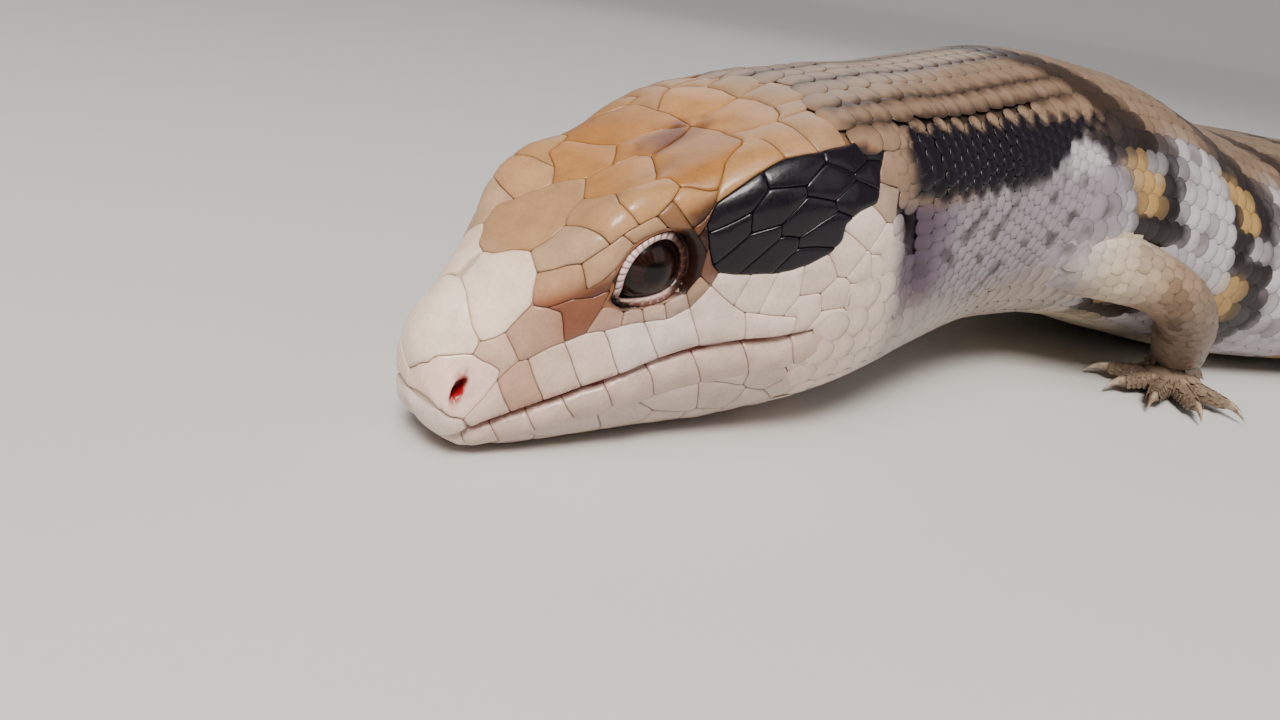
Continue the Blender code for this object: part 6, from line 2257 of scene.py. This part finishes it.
def coat_legs():
    """The scales of each leg and its foot, as one piece for each leg."""
    made = []
    for number, label in enumerate(LEG_LABELS):
        rows = [np.vstack(pair) for pair in zip(leg_roots(number, label), foot_roots(number, label))]
        made.append(lay_scales("leg_scales_" + label, *rows, None, tilt=0.06, turn=0.08, seed=11 + number))
    return made


leg_coat = coat_legs()
print("leg scales:", [len(o.data.polygons) for o in leg_coat], "faces")

# %% Gather the coat, and remove the single scale
COAT_PIECES = [shields, temple_plates, jaw_plates] + lids + body_coat + leg_coat
bpy.data.objects.remove(ONE_SCALE)
print("pieces of the coat:", len(COAT_PIECES))

# %% [markdown]
# ## What stands for what
# The skin and its scales replace the solids of flesh. The eyes, claws and eardrums are pieces
# of their own, as on the animal.

# %% Tie the pieces to the body
FLESH = ["head", "lower_jaw", "neck", "torso_chest", "torso_belly", "torso_loin", "torso_hips",
         "tail_base", "tail_middle", "tail_tip"]
FLESH += [part + "_" + label for label in LEGS for part in ("upper_leg", "lower_leg", "foot")]
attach(skin, "root")
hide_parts(*FLESH)
for number, piece in enumerate(eyes):
    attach(piece, "root")
    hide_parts(("eye_left", "eye_right")[number])
for node, piece in claws.items():
    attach(piece, "root")
    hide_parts(node)
for node in ("ear_left", "ear_right"):
    frame["nodes"][node].material_slots[0].material = EAR_DRUM_SHADED
for piece in COAT_PIECES:
    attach(piece, "root")
print("solids that the skin replaces:", len(FLESH))

# %% [markdown]
# ## Studio
# A plain pale floor, a large soft light above and in front of the animal, a weaker one from
# the other side, and the camera low beside the head, as close as the photo was taken.

# %% Floor, lights and camera
FLOOR_BELOW = 0.0002
FLOOR_SIDES = 72
HEAD_SPOT = Vector(SHIFT) * MM + Vector((-0.03, 0, 0.02))
# Name, place from the head, size, power and colour
SOFT_LIGHTS = (
    ("key", (0.30, 0.34, 0.55), 0.22, 7.2, (1.0, 0.95, 0.88)),
    ("fill", (-0.30, 0.62, 0.38), 0.5, 0.7, (0.93, 0.96, 1.0)),
    ("back", (-0.45, -0.55, 0.5), 0.5, 0.9, (0.95, 0.97, 1.0)))
CEILING_FROM = (0.25, 0.30, 0.92)
CEILING_POWER, CEILING_SPREAD = 1.35, 0.7


def stage_floor():
    """A wide pale floor whose rim curves up far away on all sides."""
    profile = [(0.0, 0.0), (0.6, 0.0), (1.6, 0.0), (3.4, 0.0)]
    profile += [(3.4 + 0.8 * sin(t), 0.8 - 0.8 * cos(t)) for t in np.linspace(0.15, pi / 2, 9)]
    profile += [(4.2, 1.6), (4.2, 2.6)]
    turned = np.linspace(0, 2 * pi, FLOOR_SIDES, endpoint=False)
    points = [(r * cos(t), r * sin(t), h - FLOOR_BELOW) for r, h in profile[1:] for t in turned]
    faces = [tuple(reversed(f)) for f in grid_faces(len(profile) - 1, FLOOR_SIDES, True)]
    faces += [(k, (k + 1) % FLOOR_SIDES, len(points)) for k in range(FLOOR_SIDES)]
    mesh = bpy.data.meshes.new("floor")
    mesh.from_pydata(points + [(0, 0, -FLOOR_BELOW)], [], faces)
    mesh.shade_smooth()
    floor = bpy.data.objects.new("floor", mesh)
    bpy.context.scene.collection.objects.link(floor)
    paint = bpy.data.materials.new("floor_paint")
    paint.use_nodes = True
    shader = paint.node_tree.nodes["Principled BSDF"]
    shader.inputs["Base Color"].default_value = (0.62, 0.60, 0.58, 1)
    shader.inputs["Roughness"].default_value = 0.75
    shader.inputs["Specular IOR Level"].default_value = 0.2
    mesh.materials.append(paint)
    return floor


def add_lamp(name, kind, power, direction, front):
    """A light whose front looks along a direction."""
    data = bpy.data.lights.new(name, kind)
    data.energy = power
    lamp = bpy.data.objects.new(name, data)
    lamp.rotation_euler = Vector(direction).to_track_quat(front, "Y").to_euler()
    bpy.context.scene.collection.objects.link(lamp)
    return data, lamp


def soft_light(name, away, size, power, colour):
    """A large square light, some metres away from the head and turned towards it."""
    data, lamp = add_lamp(name, "AREA", power, HEAD_SPOT - (HEAD_SPOT + Vector(away)), "-Z")
    data.shape = "SQUARE"
    data.size = size
    data.color = colour
    lamp.location = HEAD_SPOT + Vector(away)


def overhead_light():
    """An even light from above, which keeps the floor pale far away."""
    data, _ = add_lamp("ceiling", "SUN", CEILING_POWER, CEILING_FROM, "Z")
    data.angle = CEILING_SPREAD


def dim_surroundings():
    """A faint bluish light from all sides."""
    world = bpy.context.scene.world or bpy.data.worlds.new("world")
    bpy.context.scene.world = world
    world.use_nodes = True
    background = world.node_tree.nodes["Background"]
    background.inputs["Color"].default_value = (0.85, 0.88, 0.92, 1)
    background.inputs["Strength"].default_value = 0.12


CAMERA_PLACE = (44.07, 88.5, 52.01)
CAMERA_ROWS = ((-0.7975, 0.5853, 0.1464), (-0.1121, -0.3821, 0.9173), (-0.5928, -0.7151, -0.3703))


def add_camera():
    """The camera, from its place and directions in millimetres."""
    data = bpy.data.cameras.new("camera")
    data.sensor_fit = "HORIZONTAL"
    data.sensor_width = 36.0
    data.lens = 28.255
    data.clip_start = 0.005
    made = bpy.data.objects.new("camera", data)
    right, up, ahead = [Vector(row).normalized() for row in CAMERA_ROWS]
    turn = Matrix((right, up, -ahead)).transposed().to_4x4()
    turn.translation = (Vector(CAMERA_PLACE) + Vector(SHIFT)) * MM
    made.matrix_world = turn
    bpy.context.scene.collection.objects.link(made)
    bpy.context.scene.camera = made
    return made


stage_floor()
for light in SOFT_LIGHTS:
    soft_light(*light)
overhead_light()
dim_surroundings()
add_camera()
print("lights and camera are set")
